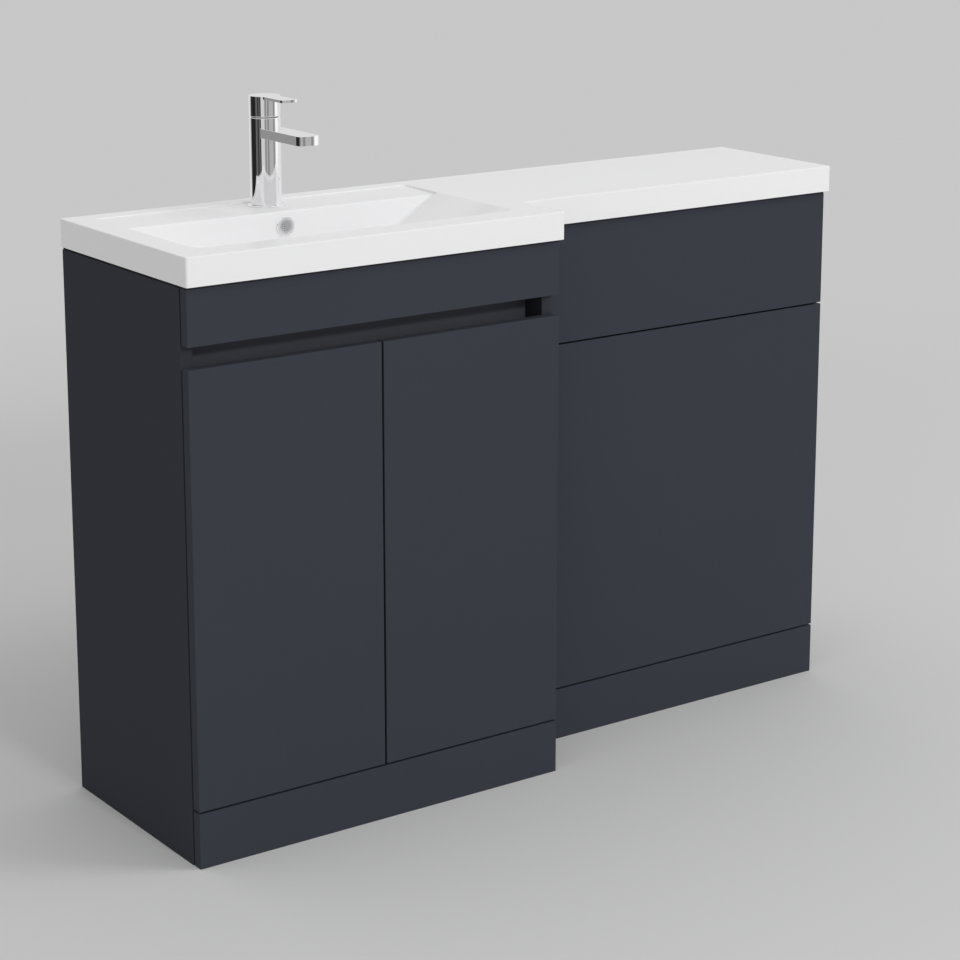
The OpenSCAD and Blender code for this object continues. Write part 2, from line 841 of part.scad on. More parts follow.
module unit_bolts() {
    color(steel) place() for (y = bolt_ys, z = bolt_zs) {
        along_x([vanity_w - panel_t, y, z], bolt_r, 2 * panel_t);
        along_x([vanity_w - panel_t - bolt_head_t, y, z], bolt_head_r, bolt_head_t);
        along_x([vanity_w + panel_t, y, z], bolt_head_r, bolt_head_t);
    }
}

// Black seals under the top, along the front and the outer sides of each cabinet
module top_seals() {
    outer = rebate_d - seal_w;
    wc_seal_y = wc_setback + seal_back;
    color(black) place() {
        difference() {
            box([outer, seal_back, fascia_z1], [vanity_w - outer, cabinet_d, cabinet_h]);
            box([rebate_d, seal_back + seal_w, fascia_z1 - 1],
                [vanity_w - rebate_d, cabinet_d + 1, cabinet_h + 1]);
        }
        difference() {
            box([vanity_w + outer, wc_seal_y, fascia_z1], [total_w - outer, cabinet_d, cabinet_h]);
            box([vanity_w, wc_seal_y + seal_w, fascia_z1 - 1],
                [total_w - rebate_d, cabinet_d + 1, cabinet_h + 1]);
        }
    }
}

// Smooth basin form: a rounded rim at z, and round corners at the floor
module bowl_form(grow, z) {
    front_r = bowl_corner_r + grow;
    rear_r = rear_corner_r + grow;
    hull() {
        for (x = [bowl_x0 + bowl_corner_r, bowl_x1 - bowl_corner_r])
            translate([x, bowl_y0 + bowl_corner_r, z]) cylinder(r = front_r, h = 1, $fn = 32);
        for (x = [bowl_x0 + rear_corner_r, bowl_x1 - rear_corner_r])
            translate([x, bowl_y1 - rear_corner_r, z]) cylinder(r = rear_r, h = 1, $fn = 32);
        for (x = [bowl_x0 + end_run, bowl_x1 - end_run], y = [bowl_y0 + front_run, bowl_y1 - floor_r])
            translate([x, y, floor_z + floor_r]) sphere(r = floor_r + grow, $fn = 32);
        for (x = [bowl_x0 + end_run, bowl_x1 - end_run], y = [bowl_y0 + front_run, bowl_y1 - floor_r])
            translate([x, y, floor_z - grow]) cylinder(r = floor_r / 2, h = 1, $fn = 32);
    }
}

module top_outline() {
    rounded_plan(-top_side, -top_front, vanity_w + top_side, cabinet_d, top_corner_r, top_corner_r);
    rounded_plan(vanity_w - top_side, wc_setback - top_wc_front, total_w + top_side, cabinet_d,
        top_corner_r, top_corner_r);
    translate([vanity_w - top_side, wc_setback]) square([2 * top_side, cabinet_d - wc_setback]);
}

// Sunk deck for the tap, open towards the bowl
module deck_plan() {
    y0 = bowl_y1 - rear_corner_r;
    translate([bowl_x0, y0]) square([bowl_w, deck_y1 - y0 - rear_corner_r]);
    rounded_plan(bowl_x0, y0, bowl_x1, deck_y1, rear_corner_r, rear_corner_r);
}

// Hollow underside on both sides of the rib over the middle panels
module top_hollows() {
    box([rim_w - top_side, rim_w - top_front, cabinet_h - 1],
        [vanity_w - rib_half, cabinet_d - rim_w, under_z]);
    box([vanity_w + rib_half, wc_setback - top_wc_front + rim_w, cabinet_h - 1],
        [total_w + top_side - rim_w, cabinet_d - rim_w, under_z]);
}

// Overflow duct down the back of the bowl and under its floor
module duct_body() {
    box([bowl_cx - duct_half - duct_wall, bowl_y1 - 1, boss_z],
        [bowl_cx + duct_half + duct_wall, duct_y + duct_d + duct_wall, under_z + 1]);
    box([bowl_cx - duct_half - duct_wall, waste_y, boss_z],
        [bowl_cx + duct_half + duct_wall, duct_y + duct_d, floor_z - 1]);
    translate([bowl_cx, waste_y, boss_z]) cylinder(r = flange_r, h = floor_z - 1 - boss_z);
}

module duct_hollow() {
    box([bowl_cx - duct_half, duct_y, boss_z + duct_wall],
        [bowl_cx + duct_half, duct_y + duct_d, overflow_zc + overflow_hole_r - overflow_land]);
    box([bowl_cx - channel_w / 2, waste_y, boss_z + duct_wall],
        [bowl_cx + channel_w / 2, duct_y + 1, boss_z + duct_wall + channel_h]);
}

module basin_top() {
    color(white) place() difference() {
        union() {
            difference() {
                translate([0, 0, cabinet_h]) linear_extrude(top_h) top_outline();
                top_hollows();
            }
            bowl_form(shell_t, under_z);
            duct_body();
        }
        bowl_form(0, top_z);
        translate([0, 0, deck_z]) linear_extrude(deck_drop + 1) deck_plan();
        duct_hollow();
        along_y([bowl_cx, bowl_y1 - 10, overflow_zc], overflow_hole_r, 10 + duct_wall + 1);
        along_y([bowl_cx, bowl_y1 - 10, overflow_zc], overflow_r + clear, 10.2);
        translate([bowl_cx, waste_y, boss_z - 1]) cylinder(r = waste_hole_r, h = floor_z - boss_z + 2);
        translate([tap_x, tap_y, under_z - 1]) cylinder(r = tap_hole_r, h = slab_t + 2);
    }
}

// Place of the overflow ring, with z along the hole's axis towards the bowl
module at_overflow() {
    translate([bowl_cx, bowl_y1 + ring_play, overflow_zc]) rotate([90, 0, 0]) children();
}

// Chrome ring pressed into the overflow hole
module overflow_ring() {
    bore_r = overflow_hole_r - ring_wall;
    lip_r = overflow_hole_r - overflow_land;
    color(chrome) place() at_overflow() rotate_extrude() polygon([[bore_r, -ring_l],
        [overflow_hole_r - fit, -ring_l], [overflow_hole_r - fit, 0], [overflow_r, 0],
        [overflow_r, ring_t / 2], [overflow_r - ring_t / 2, ring_t], [lip_r, ring_t],
        [lip_r, grille_z], [bore_r, grille_z]]);
}

module overflow_grille() {
    disc_r = overflow_hole_r - overflow_land - fit;
    color(chrome) place() at_overflow() difference() {
        translate([0, 0, grille_z]) cylinder(r = disc_r, h = grille_t);
        for (x = [-2 : 2], y = [-2 : 2])
            if (norm([x, y]) * grille_pitch < disc_r - 2 * grille_hole_r)
                translate([x * grille_pitch, y * grille_pitch, 0]) cylinder(r = grille_hole_r, h = ring_t);
    }
}

// Washer round the waste tail, with its lower face at z
module tail_washer(z, t) {
    translate([bowl_cx, waste_y, z]) difference() {
        cylinder(r = flange_r - 2, h = t);
        translate([0, 0, -1]) cylinder(r = waste_r + fit, h = t + 2);
    }
}

module waste_seal() {
    color(black) place() tail_washer(floor_z, seal_t);
}

// Flange, slotted tail and the spider that guides the plug
module waste_body() {
    tail = waste_l + shell_t;
    color(chrome) place() translate([bowl_cx, waste_y, 0]) {
        difference() {
            union() {
                translate([0, 0, waste_seat_z - tail]) cylinder(r = waste_r, h = tail + 1);
                translate([0, 0, waste_seat_z]) rotate_extrude() polygon([[0, 0], [flange_r, 0],
                    [flange_r - flange_bevel, flange_t], [0, flange_t]]);
            }
            translate([0, 0, waste_seat_z - tail - 1])
                cylinder(r = waste_r - waste_t, h = tail + flange_t + 2);
            translate([0, 0, spider_z - 3]) difference() {
                cylinder(r = waste_r + 1, h = relief_h);
                translate([0, 0, -1]) cylinder(r = waste_r - relief_d, h = relief_h + 2);
            }
            translate([-duct_half / 2, -waste_r - 1, boss_z + duct_wall])
                cube([duct_half, 2 * waste_r + 2, channel_h]);
        }
        difference() {
            union() {
                translate([0, 0, spider_z]) cylinder(r = stem_r + spider_boss, h = spider_h);
                for (a = [0, 90]) rotate([0, 0, a]) translate([-waste_r + 1, -spider_t / 2, spider_z])
                    cube([2 * waste_r - 2, spider_t, spider_t]);
            }
            translate([0, 0, spider_z - 1]) cylinder(r = stem_r + running_fit, h = spider_h + 2);
        }
    }
}

module waste_plug() {
    z0 = waste_seat_z + flange_t + clear;
    stem_z = spider_z - plug_travel - 2;
    color(chrome) place() translate([bowl_cx, waste_y, 0]) {
        translate([0, 0, z0]) rotate_extrude() polygon([[0, 0], [plug_r, 0], [plug_r, plug_bevel],
            [plug_r - plug_bevel, 2 * plug_bevel], [plug_r * 0.6, 0.9 * plug_h], [0, plug_h]]);
        translate([0, 0, stem_z]) cylinder(r = stem_r, h = z0 - stem_z + 1);
    }
}

module waste_gasket() {
    color(black) place() tail_washer(boss_z - gasket_t, gasket_t);
}

module waste_nut() {
    color(brass) place() translate([bowl_cx, waste_y, boss_z - gasket_t - waste_nut_h]) difference() {
        cylinder(r = flange_r - 2, h = waste_nut_h, $fn = 6);
        translate([0, 0, -1]) cylinder(r = waste_r + fit, h = waste_nut_h + 2);
    }
}

module tap_base_ring() {
    color(chrome) place() translate([tap_x, tap_y, deck_z]) rotate_extrude()
        polygon([[tap_hole_r - base_lap, 0], [base_r, 0], [base_r, base_t - base_bevel],
            [base_r - base_bevel, base_t], [tap_hole_r - base_lap, base_t]]);
}

// Flat bar from the tap's axis towards the bowl, with a bowed nose and round corners
module bar_plan(half, reach, bow, corner) {
    nose_r = (half * half + bow * bow) / (2 * bow);
    nose_y = nose_r - reach;
    corner_x = half - corner;
    corner_drop = sqrt(pow(nose_r - corner, 2) - corner_x * corner_x);
    corner_y = nose_y - corner_drop;
    translate([-half, corner_y]) square([2 * half, -corner_y]);
    for (x = [-corner_x, corner_x]) translate([x, corner_y]) circle(corner);
    translate([0, nose_y]) intersection() {
        circle(nose_r, $fn = 128);
        polygon([[0, 0], [-2 * corner_x, -2 * corner_drop], [2 * corner_x, -2 * corner_drop]]);
    }
}

module tap_body() {
    color(chrome) place() translate([tap_x, tap_y, 0]) difference() {
        union() {
            translate([0, 0, base_z]) cylinder(r = tap_r, h = shoulder_z - base_z);
            translate([0, 0, spout_z0]) linear_extrude(spout_t)
                bar_plan(spout_half, spout_reach, spout_bow, spout_corner);
        }
        translate([0, 0, seat_z]) cylinder(r = seat_r, h = shoulder_z - seat_z + 1);
        translate([-channel_half, -aerator_y, spout_z0 + aerator_h - 2])
            cube([2 * channel_half, aerator_y, channel_t]);
        translate([0, -aerator_y, spout_z0 - 1]) cylinder(r = aerator_r, h = aerator_h + 1);
        translate([0, stud_y, base_z - 1]) cylinder(r = stud_r + fit, h = stud_in + 2);
        for (x = [-port_x, port_x]) translate([x, port_y, base_z - 1]) cylinder(r = port_r, h = port_l + 1);
    }
}

module tap_aerator() {
    color(steel) place() translate([tap_x, tap_y - aerator_y, spout_z0]) difference() {
        cylinder(r = aerator_r - fit, h = aerator_h - clear);
        for (x = [-2 : 2], y = [-2 : 2])
            if (norm([x, y]) < 2.5) translate([x * aerator_pitch, y * aerator_pitch, -1])
                cylinder(r = aerator_hole_r, h = spout_t);
    }
}

module tap_cartridge() {
    color(black) place() translate([tap_x, tap_y, seat_z])
        cylinder(r = cartridge_r, h = cartridge_top - seat_z);
}

// Screwed sleeve that holds the cartridge and carries the swivel ring
module cartridge_nut() {
    color(brass) place() translate([tap_x, tap_y, shoulder_z]) difference() {
        union() {
            translate([0, 0, -nut_skirt]) cylinder(r = seat_r - fit, h = nut_skirt);
            cylinder(r = neck_r, h = neck_h);
        }
        translate([0, 0, -nut_skirt - 1]) cylinder(r = cartridge_r + fit, h = nut_skirt + neck_h + 2);
    }
}

module cartridge_stem() {
    stem_z = cartridge_top + clear;
    color(steel) place() translate([tap_x, tap_y, stem_z]) cylinder(r = stud_r, h = roof_z - stem_z);
}

module swivel_ring() {
    color(brass) place() translate([tap_x, tap_y, shoulder_z + clear]) difference() {
        cylinder(r = ring_r, h = ring_h);
        translate([0, 0, -1]) cylinder(r = neck_r + running_fit, h = ring_h + 2);
        translate([-lug_half - clear, neck_r - 2, -1]) cube([2 * (lug_half + clear), tap_r, ring_h + 2]);
        translate([-tap_r, lever_pin_y, lever_pin_z - shoulder_z - clear]) rotate([0, 90, 0])
            cylinder(r = lever_pin_r + press_gap, h = 2 * tap_r);
    }
}

module lever_pin() {
    color(steel) place() along_x([tap_x - lever_pin_half, tap_y + lever_pin_y, lever_pin_z], lever_pin_r,
        2 * lever_pin_half);
}

module tap_handle() {
    heel_z = lever_pin_z - (lever_pin_z - shoulder_z - clear) / cos(lift);
    color(chrome) place() translate([tap_x, tap_y, 0]) difference() {
        union() {
            difference() {
                translate([0, 0, handle_z0]) cylinder(r = tap_r, h = handle_h);
                translate([0, 0, handle_z0 - 1]) cylinder(r = tap_r - cap_wall, h = handle_h - lever_t + 1);
            }
            translate([0, 0, roof_z]) linear_extrude(lever_t)
                bar_plan(lever_half, lever_reach, lever_bow, lever_corner);
            along_x([-lug_half, lever_pin_y, lever_pin_z], lug_r, 2 * lug_half);
            box([-lug_half, lever_pin_y, lever_pin_z - lug_r],
                [lug_half, tap_r - cap_wall / 2, lever_pin_z + lug_r]);
        }
        along_x([-lug_half - 1, lever_pin_y, lever_pin_z], lever_pin_r + fit, 2 * lug_half + 2);
        translate([0, lever_pin_y, heel_z]) rotate([lift, 0, 0]) translate([-tap_r, 0, -tap_r])
            cube([2 * tap_r, tap_r, tap_r]);
    }
}

module tap_stud() {
    color(steel) place() translate([tap_x, tap_y + stud_y, base_z + stud_in - stud_l])
        cylinder(r = stud_r, h = stud_l);
}

// Horseshoe shape that slips round the pipes under the deck
module horseshoe(z, t) {
    translate([tap_x, tap_y, z]) difference() {
        cylinder(r = base_r, h = t);
        translate([-slot_half, -base_r - 1, -1]) cube([2 * slot_half, base_r + 1 + slot_y, t + 2]);
        translate([0, stud_y, -1]) cylinder(r = stud_r + fit, h = t + 2);
    }
}

module tap_washer() {
    color(black) place() horseshoe(under_z - washer_t, washer_t);
}

module tap_clamp_plate() {
    color(steel) place() horseshoe(under_z - washer_t - clamp_t, clamp_t);
}

module tap_nut() {
    z0 = under_z - washer_t - clamp_t - tap_nut_h;
    color(brass) place() translate([tap_x, tap_y + stud_y, z0]) difference() {
        cylinder(r = stud_r + tap_nut_wall, h = tap_nut_h, $fn = 6);
        translate([0, 0, -1]) cylinder(r = stud_r + fit, h = tap_nut_h + 2);
    }
}

vanity_side_left();
vanity_side_right();
vanity_bottom();
vanity_back();
vanity_rear_rail();
finger_rail();
shelf();
shelf_pins();
fascia();
vanity_plinth();
vanity_dowels();
front_dowels();
door_left();
door_right();
hinge_cups_left();
hinge_cups_right();
hinge_pins_left();
hinge_pins_right();
cup_screws_left();
cup_screws_right();
hinge_arms();
hinge_plates();
plate_screws();
door_buffers_left();
door_buffers_right();
wc_side_left();
wc_side_right();
wc_rear_rail();
wc_middle_rail();
wc_bottom_rail();
wc_access_panel();
wc_lower_panel();
wc_plinth();
wc_dowels();
panel_clips();
unit_bolts();
top_seals();
basin_top();
overflow_ring();
overflow_grille();
waste_body();
waste_seal();
waste_plug();
waste_gasket();
waste_nut();
tap_base_ring();
tap_body();
tap_aerator();
tap_cartridge();
cartridge_nut();
cartridge_stem();
swivel_ring();
lever_pin();
tap_handle();
tap_stud();
tap_washer();
tap_clamp_plate();
tap_nut();
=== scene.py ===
"""Looks of a combination vanity unit: two anthracite cabinets, a white basin top and a lever tap."""
from __future__ import annotations

import json
import logging
import math
from collections.abc import Callable, Iterable, Mapping, Sequence
from dataclasses import dataclass, field
from enum import Enum
from functools import cached_property
from typing import TypeAlias

import bmesh
import bpy
from mathutils import Matrix, Vector


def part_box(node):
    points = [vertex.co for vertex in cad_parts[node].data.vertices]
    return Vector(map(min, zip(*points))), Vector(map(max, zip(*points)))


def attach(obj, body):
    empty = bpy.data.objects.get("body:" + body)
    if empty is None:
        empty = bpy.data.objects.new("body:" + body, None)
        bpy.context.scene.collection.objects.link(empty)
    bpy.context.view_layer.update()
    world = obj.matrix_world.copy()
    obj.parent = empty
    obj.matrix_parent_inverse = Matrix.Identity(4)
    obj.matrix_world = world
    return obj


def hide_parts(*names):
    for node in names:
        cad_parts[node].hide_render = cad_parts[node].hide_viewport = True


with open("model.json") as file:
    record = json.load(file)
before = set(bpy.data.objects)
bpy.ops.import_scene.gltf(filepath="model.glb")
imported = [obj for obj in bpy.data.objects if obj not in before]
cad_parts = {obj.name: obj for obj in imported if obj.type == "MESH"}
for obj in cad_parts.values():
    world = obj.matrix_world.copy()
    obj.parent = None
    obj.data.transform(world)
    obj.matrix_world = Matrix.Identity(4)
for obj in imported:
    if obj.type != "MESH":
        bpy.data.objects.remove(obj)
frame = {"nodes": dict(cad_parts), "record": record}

log = logging.getLogger("vanity")
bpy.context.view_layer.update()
MM = 0.001
WELD = 0.005 * MM
TOUCH = 4 * WELD
FLAT = math.radians(0.3)
CREASE = math.radians(32)
SQUARE = math.radians(60)
SEEN_RAYS = ("Camera", "Glossy", "Transmission")
UP = Vector((0, 0, 1))
FORWARD = Vector((0, -1, 0))
ACROSS = Vector((1, 0, 0))

Form = bmesh.types.BMesh
Vert = bmesh.types.BMVert
Edge = bmesh.types.BMEdge
Face = bmesh.types.BMFace
Colour = tuple[float, float, float, float]
Point = Sequence[float]
Keep = Callable[[Vector], bool]
Level = float | Callable[[float], float]
Settings = Mapping[str, object]
Inputs: TypeAlias = "Mapping[str | int, Signal | float | Point]"


class Slot(Enum):
    """Material slots of the record."""

    CARCASS = "carcass"
    FRONT = "front"
    CHANNEL = "channel"
    BASIN = "basin"
    DOWEL = "dowel"
    STEEL = "steel"
    CHROME = "chrome"
    SATIN_CHROME = "satin_chrome"
    BRASS = "brass"
    RUBBER = "rubber"
    BLACK_PLASTIC = "black_plastic"
    CLEAR_PLASTIC = "clear_plastic"
    PALE_PLASTIC = "pale_plastic"


class Cut(Enum):
    """What a tool does to a solid."""

    ADD = "UNION"
    REMOVE = "DIFFERENCE"


def srgb(red: float, green: float, blue: float) -> Colour:
    """Turn a colour of 0 to 255 into a linear one.

    Args:
        red: Red as a picture stores it.
        green: Green as a picture stores it.
        blue: Blue as a picture stores it.

    Returns:
        The linear colour with full alpha.
    """
    def linear(part: float) -> float:
        """Undo the display curve of one channel."""
        share = part / 255
        return share / 12.92 if share <= 0.04045 else ((share + 0.055) / 1.055) ** 2.4

    return linear(red), linear(green), linear(blue), 1.0


class Signal:
    """One output of a finish's nodes, on which Python's operators add Math nodes."""

    def __init__(self, recipe: Recipe, socket: bpy.types.NodeSocket) -> None:
        """Keep the socket and the recipe that holds it."""
        self.recipe = recipe
        self.socket = socket

    def _math(self, operation: str, *values: Signal | float) -> Signal:
        """Add one Math node for an operation on these values."""
        return self.recipe.out("ShaderNodeMath", {"operation": operation}, dict(enumerate(values)))

    def __add__(self, other: Signal | float) -> Signal:
        """Add a value."""
        return self._math("ADD", self, other)

    def __radd__(self, other: float) -> Signal:
        """Add to a number."""
        return self._math("ADD", other, self)

    def __sub__(self, other: Signal | float) -> Signal:
        """Subtract a value."""
        return self._math("SUBTRACT", self, other)

    def __rsub__(self, other: float) -> Signal:
        """Subtract from a number."""
        return self._math("SUBTRACT", other, self)

    def __mul__(self, other: Signal | float) -> Signal:
        """Multiply by a value."""
        return self._math("MULTIPLY", self, other)

    def __rmul__(self, other: float) -> Signal:
        """Multiply a number."""
        return self._math("MULTIPLY", other, self)

    def larger(self, other: Signal) -> Signal:
        """Return the larger of this value and another."""
        return self._math("MAXIMUM", self, other)

    def angle_to(self, other: Signal) -> Signal:
        """Return the angle whose sine is along this value and whose cosine is along the other."""
        return self._math("ARCTAN2", self, other)

    def wave(self) -> Signal:
        """Return the sine, moved to 0 to 1."""
        return self._math("SINE", self) * 0.5 + 0.5

    def between(self, low: float, high: float) -> Signal:
        """Return a smooth step from 0 at low to 1 at high."""
        settings = {"interpolation_type": "SMOOTHSTEP"}
        return self.recipe.out("ShaderNodeMapRange", settings, {0: self, 1: low, 2: high})


class Recipe:
    """The nodes of one material, or of the world."""

    def __init__(self, name: str, world: bool = False) -> None:
        """Start an empty node tree of a new material or a new world.

        Args:
            name: Name of the material or world.
            world: Whether it is a world.
        """
        self.sink = "ShaderNodeOutputWorld" if world else "ShaderNodeOutputMaterial"
        self.holder = (bpy.data.worlds if world else bpy.data.materials).new(name)
        self.holder.use_nodes = True
        tree = self.holder.node_tree
        self.nodes = tree.nodes
        self.links = tree.links
        self.nodes.clear()

    @cached_property
    def coords(self) -> Signal:
        """The object's own coordinates."""
        return self.out("ShaderNodeTexCoord", output="Object")

    def node(
        self,
        kind: str,
        settings: Settings | None = None,
        inputs: Inputs | None = None,
    ) -> bpy.types.Node:
        """Add a node of any kind.

        Args:
            kind: Blender's name of the node's type.
            settings: Values of the node itself, set first; stops are a ramp's places and colours.
            inputs: Values or links of its sockets.

        Returns:
            The new node.
        """
        made = self.nodes.new(kind)
        for key, value in (settings or {}).items():
            if key == "stops":
                for element, (place, colour) in zip(made.color_ramp.elements, value):
                    element.position = place
                    element.color = colour
            else:
                setattr(made, key, value)
        for key, value in (inputs or {}).items():
            if isinstance(value, Signal):
                self.links.new(value.socket, made.inputs[key])
            else:
                made.inputs[key].default_value = value
        return made

    def out(
        self,
        kind: str,
        settings: Settings | None = None,
        inputs: Inputs | None = None,
        output: str | int = 0,
    ) -> Signal:
        """Add a node as node() does, and return the named output."""
        return Signal(self, self.node(kind, settings, inputs).outputs[output])

    def stretched(self, scale: tuple[float, float, float]) -> Signal:
        """Return the object's coordinates, stretched along its axes."""
        return self.out("ShaderNodeMapping", inputs={"Vector": self.coords, "Scale": scale})

    def noise(self, scale: float, detail: float = 2.0, coords: Signal | None = None) -> Signal:
        """Return noise of 0 to 1.

        Args:
            scale: Grains per metre.
            detail: Octaves of finer noise.
            coords: Coordinates to read, or the object's own.

        Returns:
            The noise as a signal.
        """
        inputs = {"Vector": coords or self.coords, "Scale": scale, "Detail": detail}
        return self.out("ShaderNodeTexNoise", inputs=inputs)

    def part(self, axis: str, coords: Signal | None = None) -> Signal:
        """Return one coordinate, X, Y or Z."""
        return self.out("ShaderNodeSeparateXYZ", inputs={0: coords or self.coords}, output=axis)

    def seen(self) -> Signal:
        """Tell rays of the camera and of reflections, 1, from light, 0.

        Returns:
            The two values as one signal.
        """
        path = self.node("ShaderNodeLightPath")
        camera, glossy, through = (Signal(self, path.outputs[f"Is {kind} Ray"]) for kind in SEEN_RAYS)
        return camera.larger(glossy).larger(through)

    def blend(self, share: Signal | float, first: Signal | Point, second: Signal | Point) -> Signal:
        """Return a colour between two, by share."""
        return self.out("ShaderNodeMix", {"data_type": "RGBA"}, {0: share, 6: first, 7: second}, output=2)

    def bump(self, height: Signal, strength: float, depth: float) -> Signal:
        """Return a normal for a height, with its depth in metres."""
        inputs = {"Strength": strength, "Distance": depth, "Height": height}
        return self.out("ShaderNodeBump", inputs=inputs)

    def finished(self, shader: Signal) -> bpy.types.Material | bpy.types.World:
        """Lead a shader to the output and return what holds the nodes."""
        self.node(self.sink, inputs={"Surface": shader})
        return self.holder


def grey(level: float) -> Colour:
    """Return a linear grey."""
    return level, level, level, 1.0


def shade(colour: Point, factor: float) -> Colour:
    """Return a linear colour made lighter or darker by a factor."""
    return colour[0] * factor, colour[1] * factor, colour[2] * factor, 1.0


@dataclass(frozen=True)
class Finish:
    """Material with one principled shader."""

    name: str
    colour: Colour

    def sockets(self, recipe: Recipe) -> Inputs:
        """Return the values and links of the shader's sockets."""
        return {"Base Color": self.colour}

    def build(self) -> bpy.types.Material:
        """Return the finished material."""
        recipe = Recipe(self.name)
        return recipe.finished(recipe.out("ShaderNodeBsdfPrincipled", inputs=self.sockets(recipe)))


@dataclass(frozen=True)
class MattLacquer(Finish):
    """Sprayed matt lacquer, even from afar, with a fine peel and a slight drift of tone."""

    drift: float = 0.04
    gloss_level: float = 0.01
    roughness: float = 0.42
    cloud_grain: float = 2.6
    speck_grain: float = 1900.0
    rub_grain: float = 11.0
    peel_grain: float = 820.0
    peel_depth: float = 0.05 * MM
    speck_light: float = 1.35

    def sockets(self, recipe: Recipe) -> Inputs:
        """Describe the lacquer.

        Args:
            recipe: The material's nodes.

        Returns:
            Values and links of the shader's sockets.
        """
        clouds = recipe.noise(self.cloud_grain, 3.0)
        speck = recipe.noise(self.speck_grain)
        rubbed = recipe.noise(self.rub_grain, 4.0).between(0.5, 0.85)
        tone = recipe.blend(clouds, shade(self.colour, 1 - self.drift), shade(self.colour, 1 + self.drift))
        tone = recipe.blend(speck.between(0.35, 0.8) * 0.12, tone, shade(self.colour, self.speck_light))
        peel = recipe.noise(self.peel_grain, 3.0)
        return {
            "Base Color": tone,
            "Roughness": self.roughness + (clouds - 0.5) * 0.06 - rubbed * 0.05 + (speck - 0.5) * 0.05,
            "Specular IOR Level": self.gloss_level,
            "Normal": recipe.bump(peel, 0.35, self.peel_depth),
        }


@dataclass(frozen=True)
class FacedBoard(Finish):
    """Melamine-faced board with an embossed pore."""

    roughness: float = 0.5
    gloss_level: float = 0.01
    cloud_grain: float = 3.2
    pore_grain: float = 1500.0
    weave_grain: float = 420.0
    pore_dark: float = 0.7

    def sockets(self, recipe: Recipe) -> Inputs:
        """Describe the board.

        Args:
            recipe: The material's nodes.

        Returns:
            Values and links of the shader's sockets.
        """
        clouds = recipe.noise(self.cloud_grain, 3.0)
        pores = recipe.noise(self.pore_grain)
        weave = recipe.noise(self.weave_grain, 3.0, recipe.stretched((1, 1, 0.35)))
        tone = recipe.blend(clouds, shade(self.colour, 0.95), shade(self.colour, 1.06))
        tone = recipe.blend(pores.between(0.5, 0.75) * 0.2, tone, shade(self.colour, self.pore_dark))
        return {
            "Base Color": tone,
            "Roughness": self.roughness + (weave - 0.5) * 0.08,
            "Specular IOR Level": self.gloss_level,
            "Normal": recipe.bump(weave * 0.7 + pores * 0.3, 0.4, 0.05 * MM),
        }


@dataclass(frozen=True)
class GelCoat(Finish):
    """Glossy white gel coat over cast mineral, with a faint depth under its skin."""

    roughness: float = 0.3
    gloss_level: float = 0.3
    warmth: Point = (1.002, 1, 0.997)
    cast_grain: float = 5.0
    cloud_grain: float = 38.0
    ripple_grain: float = 14.0
    ripple_depth: float = 0.25 * MM

    def sockets(self, recipe: Recipe) -> Inputs:
        """Describe the top.

        Args:
            recipe: The material's nodes.

        Returns:
            Values and links of the shader's sockets.
        """
        cast = recipe.noise(self.cast_grain, 3.0)
        cloud = recipe.noise(self.cloud_grain, 4.0)
        ripple = recipe.noise(self.ripple_grain)
        warm = (*(part * share for part, share in zip(self.colour, self.warmth)), 1.0)
        tone = recipe.blend(cast, shade(self.colour, 0.985), warm)
        tone = recipe.blend(cloud.between(0.45, 0.8) * 0.35, tone, shade(self.colour, 0.975))
        return {
            "Base Color": tone,
            "Roughness": self.roughness + cloud * 0.05,
            "Specular IOR Level": self.gloss_level,
            "Normal": recipe.bump(ripple, 0.12, self.ripple_depth),
            "Coat Weight": 0.03 + cast * 0.04,
            "Coat Roughness": 0.15,
        }


@dataclass(frozen=True)
class PlatedMetal(Finish):
    """Polished or satin plating over a casting, with faint wipe marks."""

    roughness: float
    smudge: float
    brushed: float = 0.0
    stretch: tuple[float, float, float] = (1.0, 1.0, 1.0)
    wipe_grain: float = 46.0
    line_grain: float = 2600.0
    wipe_dark: float = 0.96

    def sockets(self, recipe: Recipe) -> Inputs:
        """Describe the plating.

        Args:
            recipe: The material's nodes.

        Returns:
            Values and links of the shader's sockets.
        """
        wipe = recipe.noise(self.wipe_grain, 4.0).between(0.4, 0.75)
        lines = recipe.noise(self.line_grain, coords=recipe.stretched(self.stretch))
        tone = recipe.blend(wipe * 0.5, self.colour, shade(self.colour, self.wipe_dark))
        return {
            "Base Color": tone,
            "Metallic": 1.0,
            "Roughness": self.roughness + wipe * self.smudge + lines * self.brushed,
            "Normal": recipe.bump(lines, 0.1 + self.brushed, 0.01 * MM),
        }


@dataclass(frozen=True)
class TurnedBrass(Finish):
    """Bare turned brass with its tool rings and a little tarnish."""

    tarnish_colour: Colour
    ring_pitch: float = 9000.0
    tarnish_grain: float = 160.0

    def sockets(self, recipe: Recipe) -> Inputs:
        """Describe the brass.

        Args:
            recipe: The material's nodes.

        Returns:
            Values and links of the shader's sockets.
        """
        rings = (recipe.part("Z") * self.ring_pitch).wave()
        tarnish = recipe.noise(self.tarnish_grain, 5.0).between(0.45, 0.8)
        return {
            "Base Color": recipe.blend(tarnish, self.colour, self.tarnish_colour),
            "Metallic": 1.0,
            "Roughness": 0.24 + tarnish * 0.2,
            "Normal": recipe.bump(rings, 0.2, 0.03 * MM),
        }


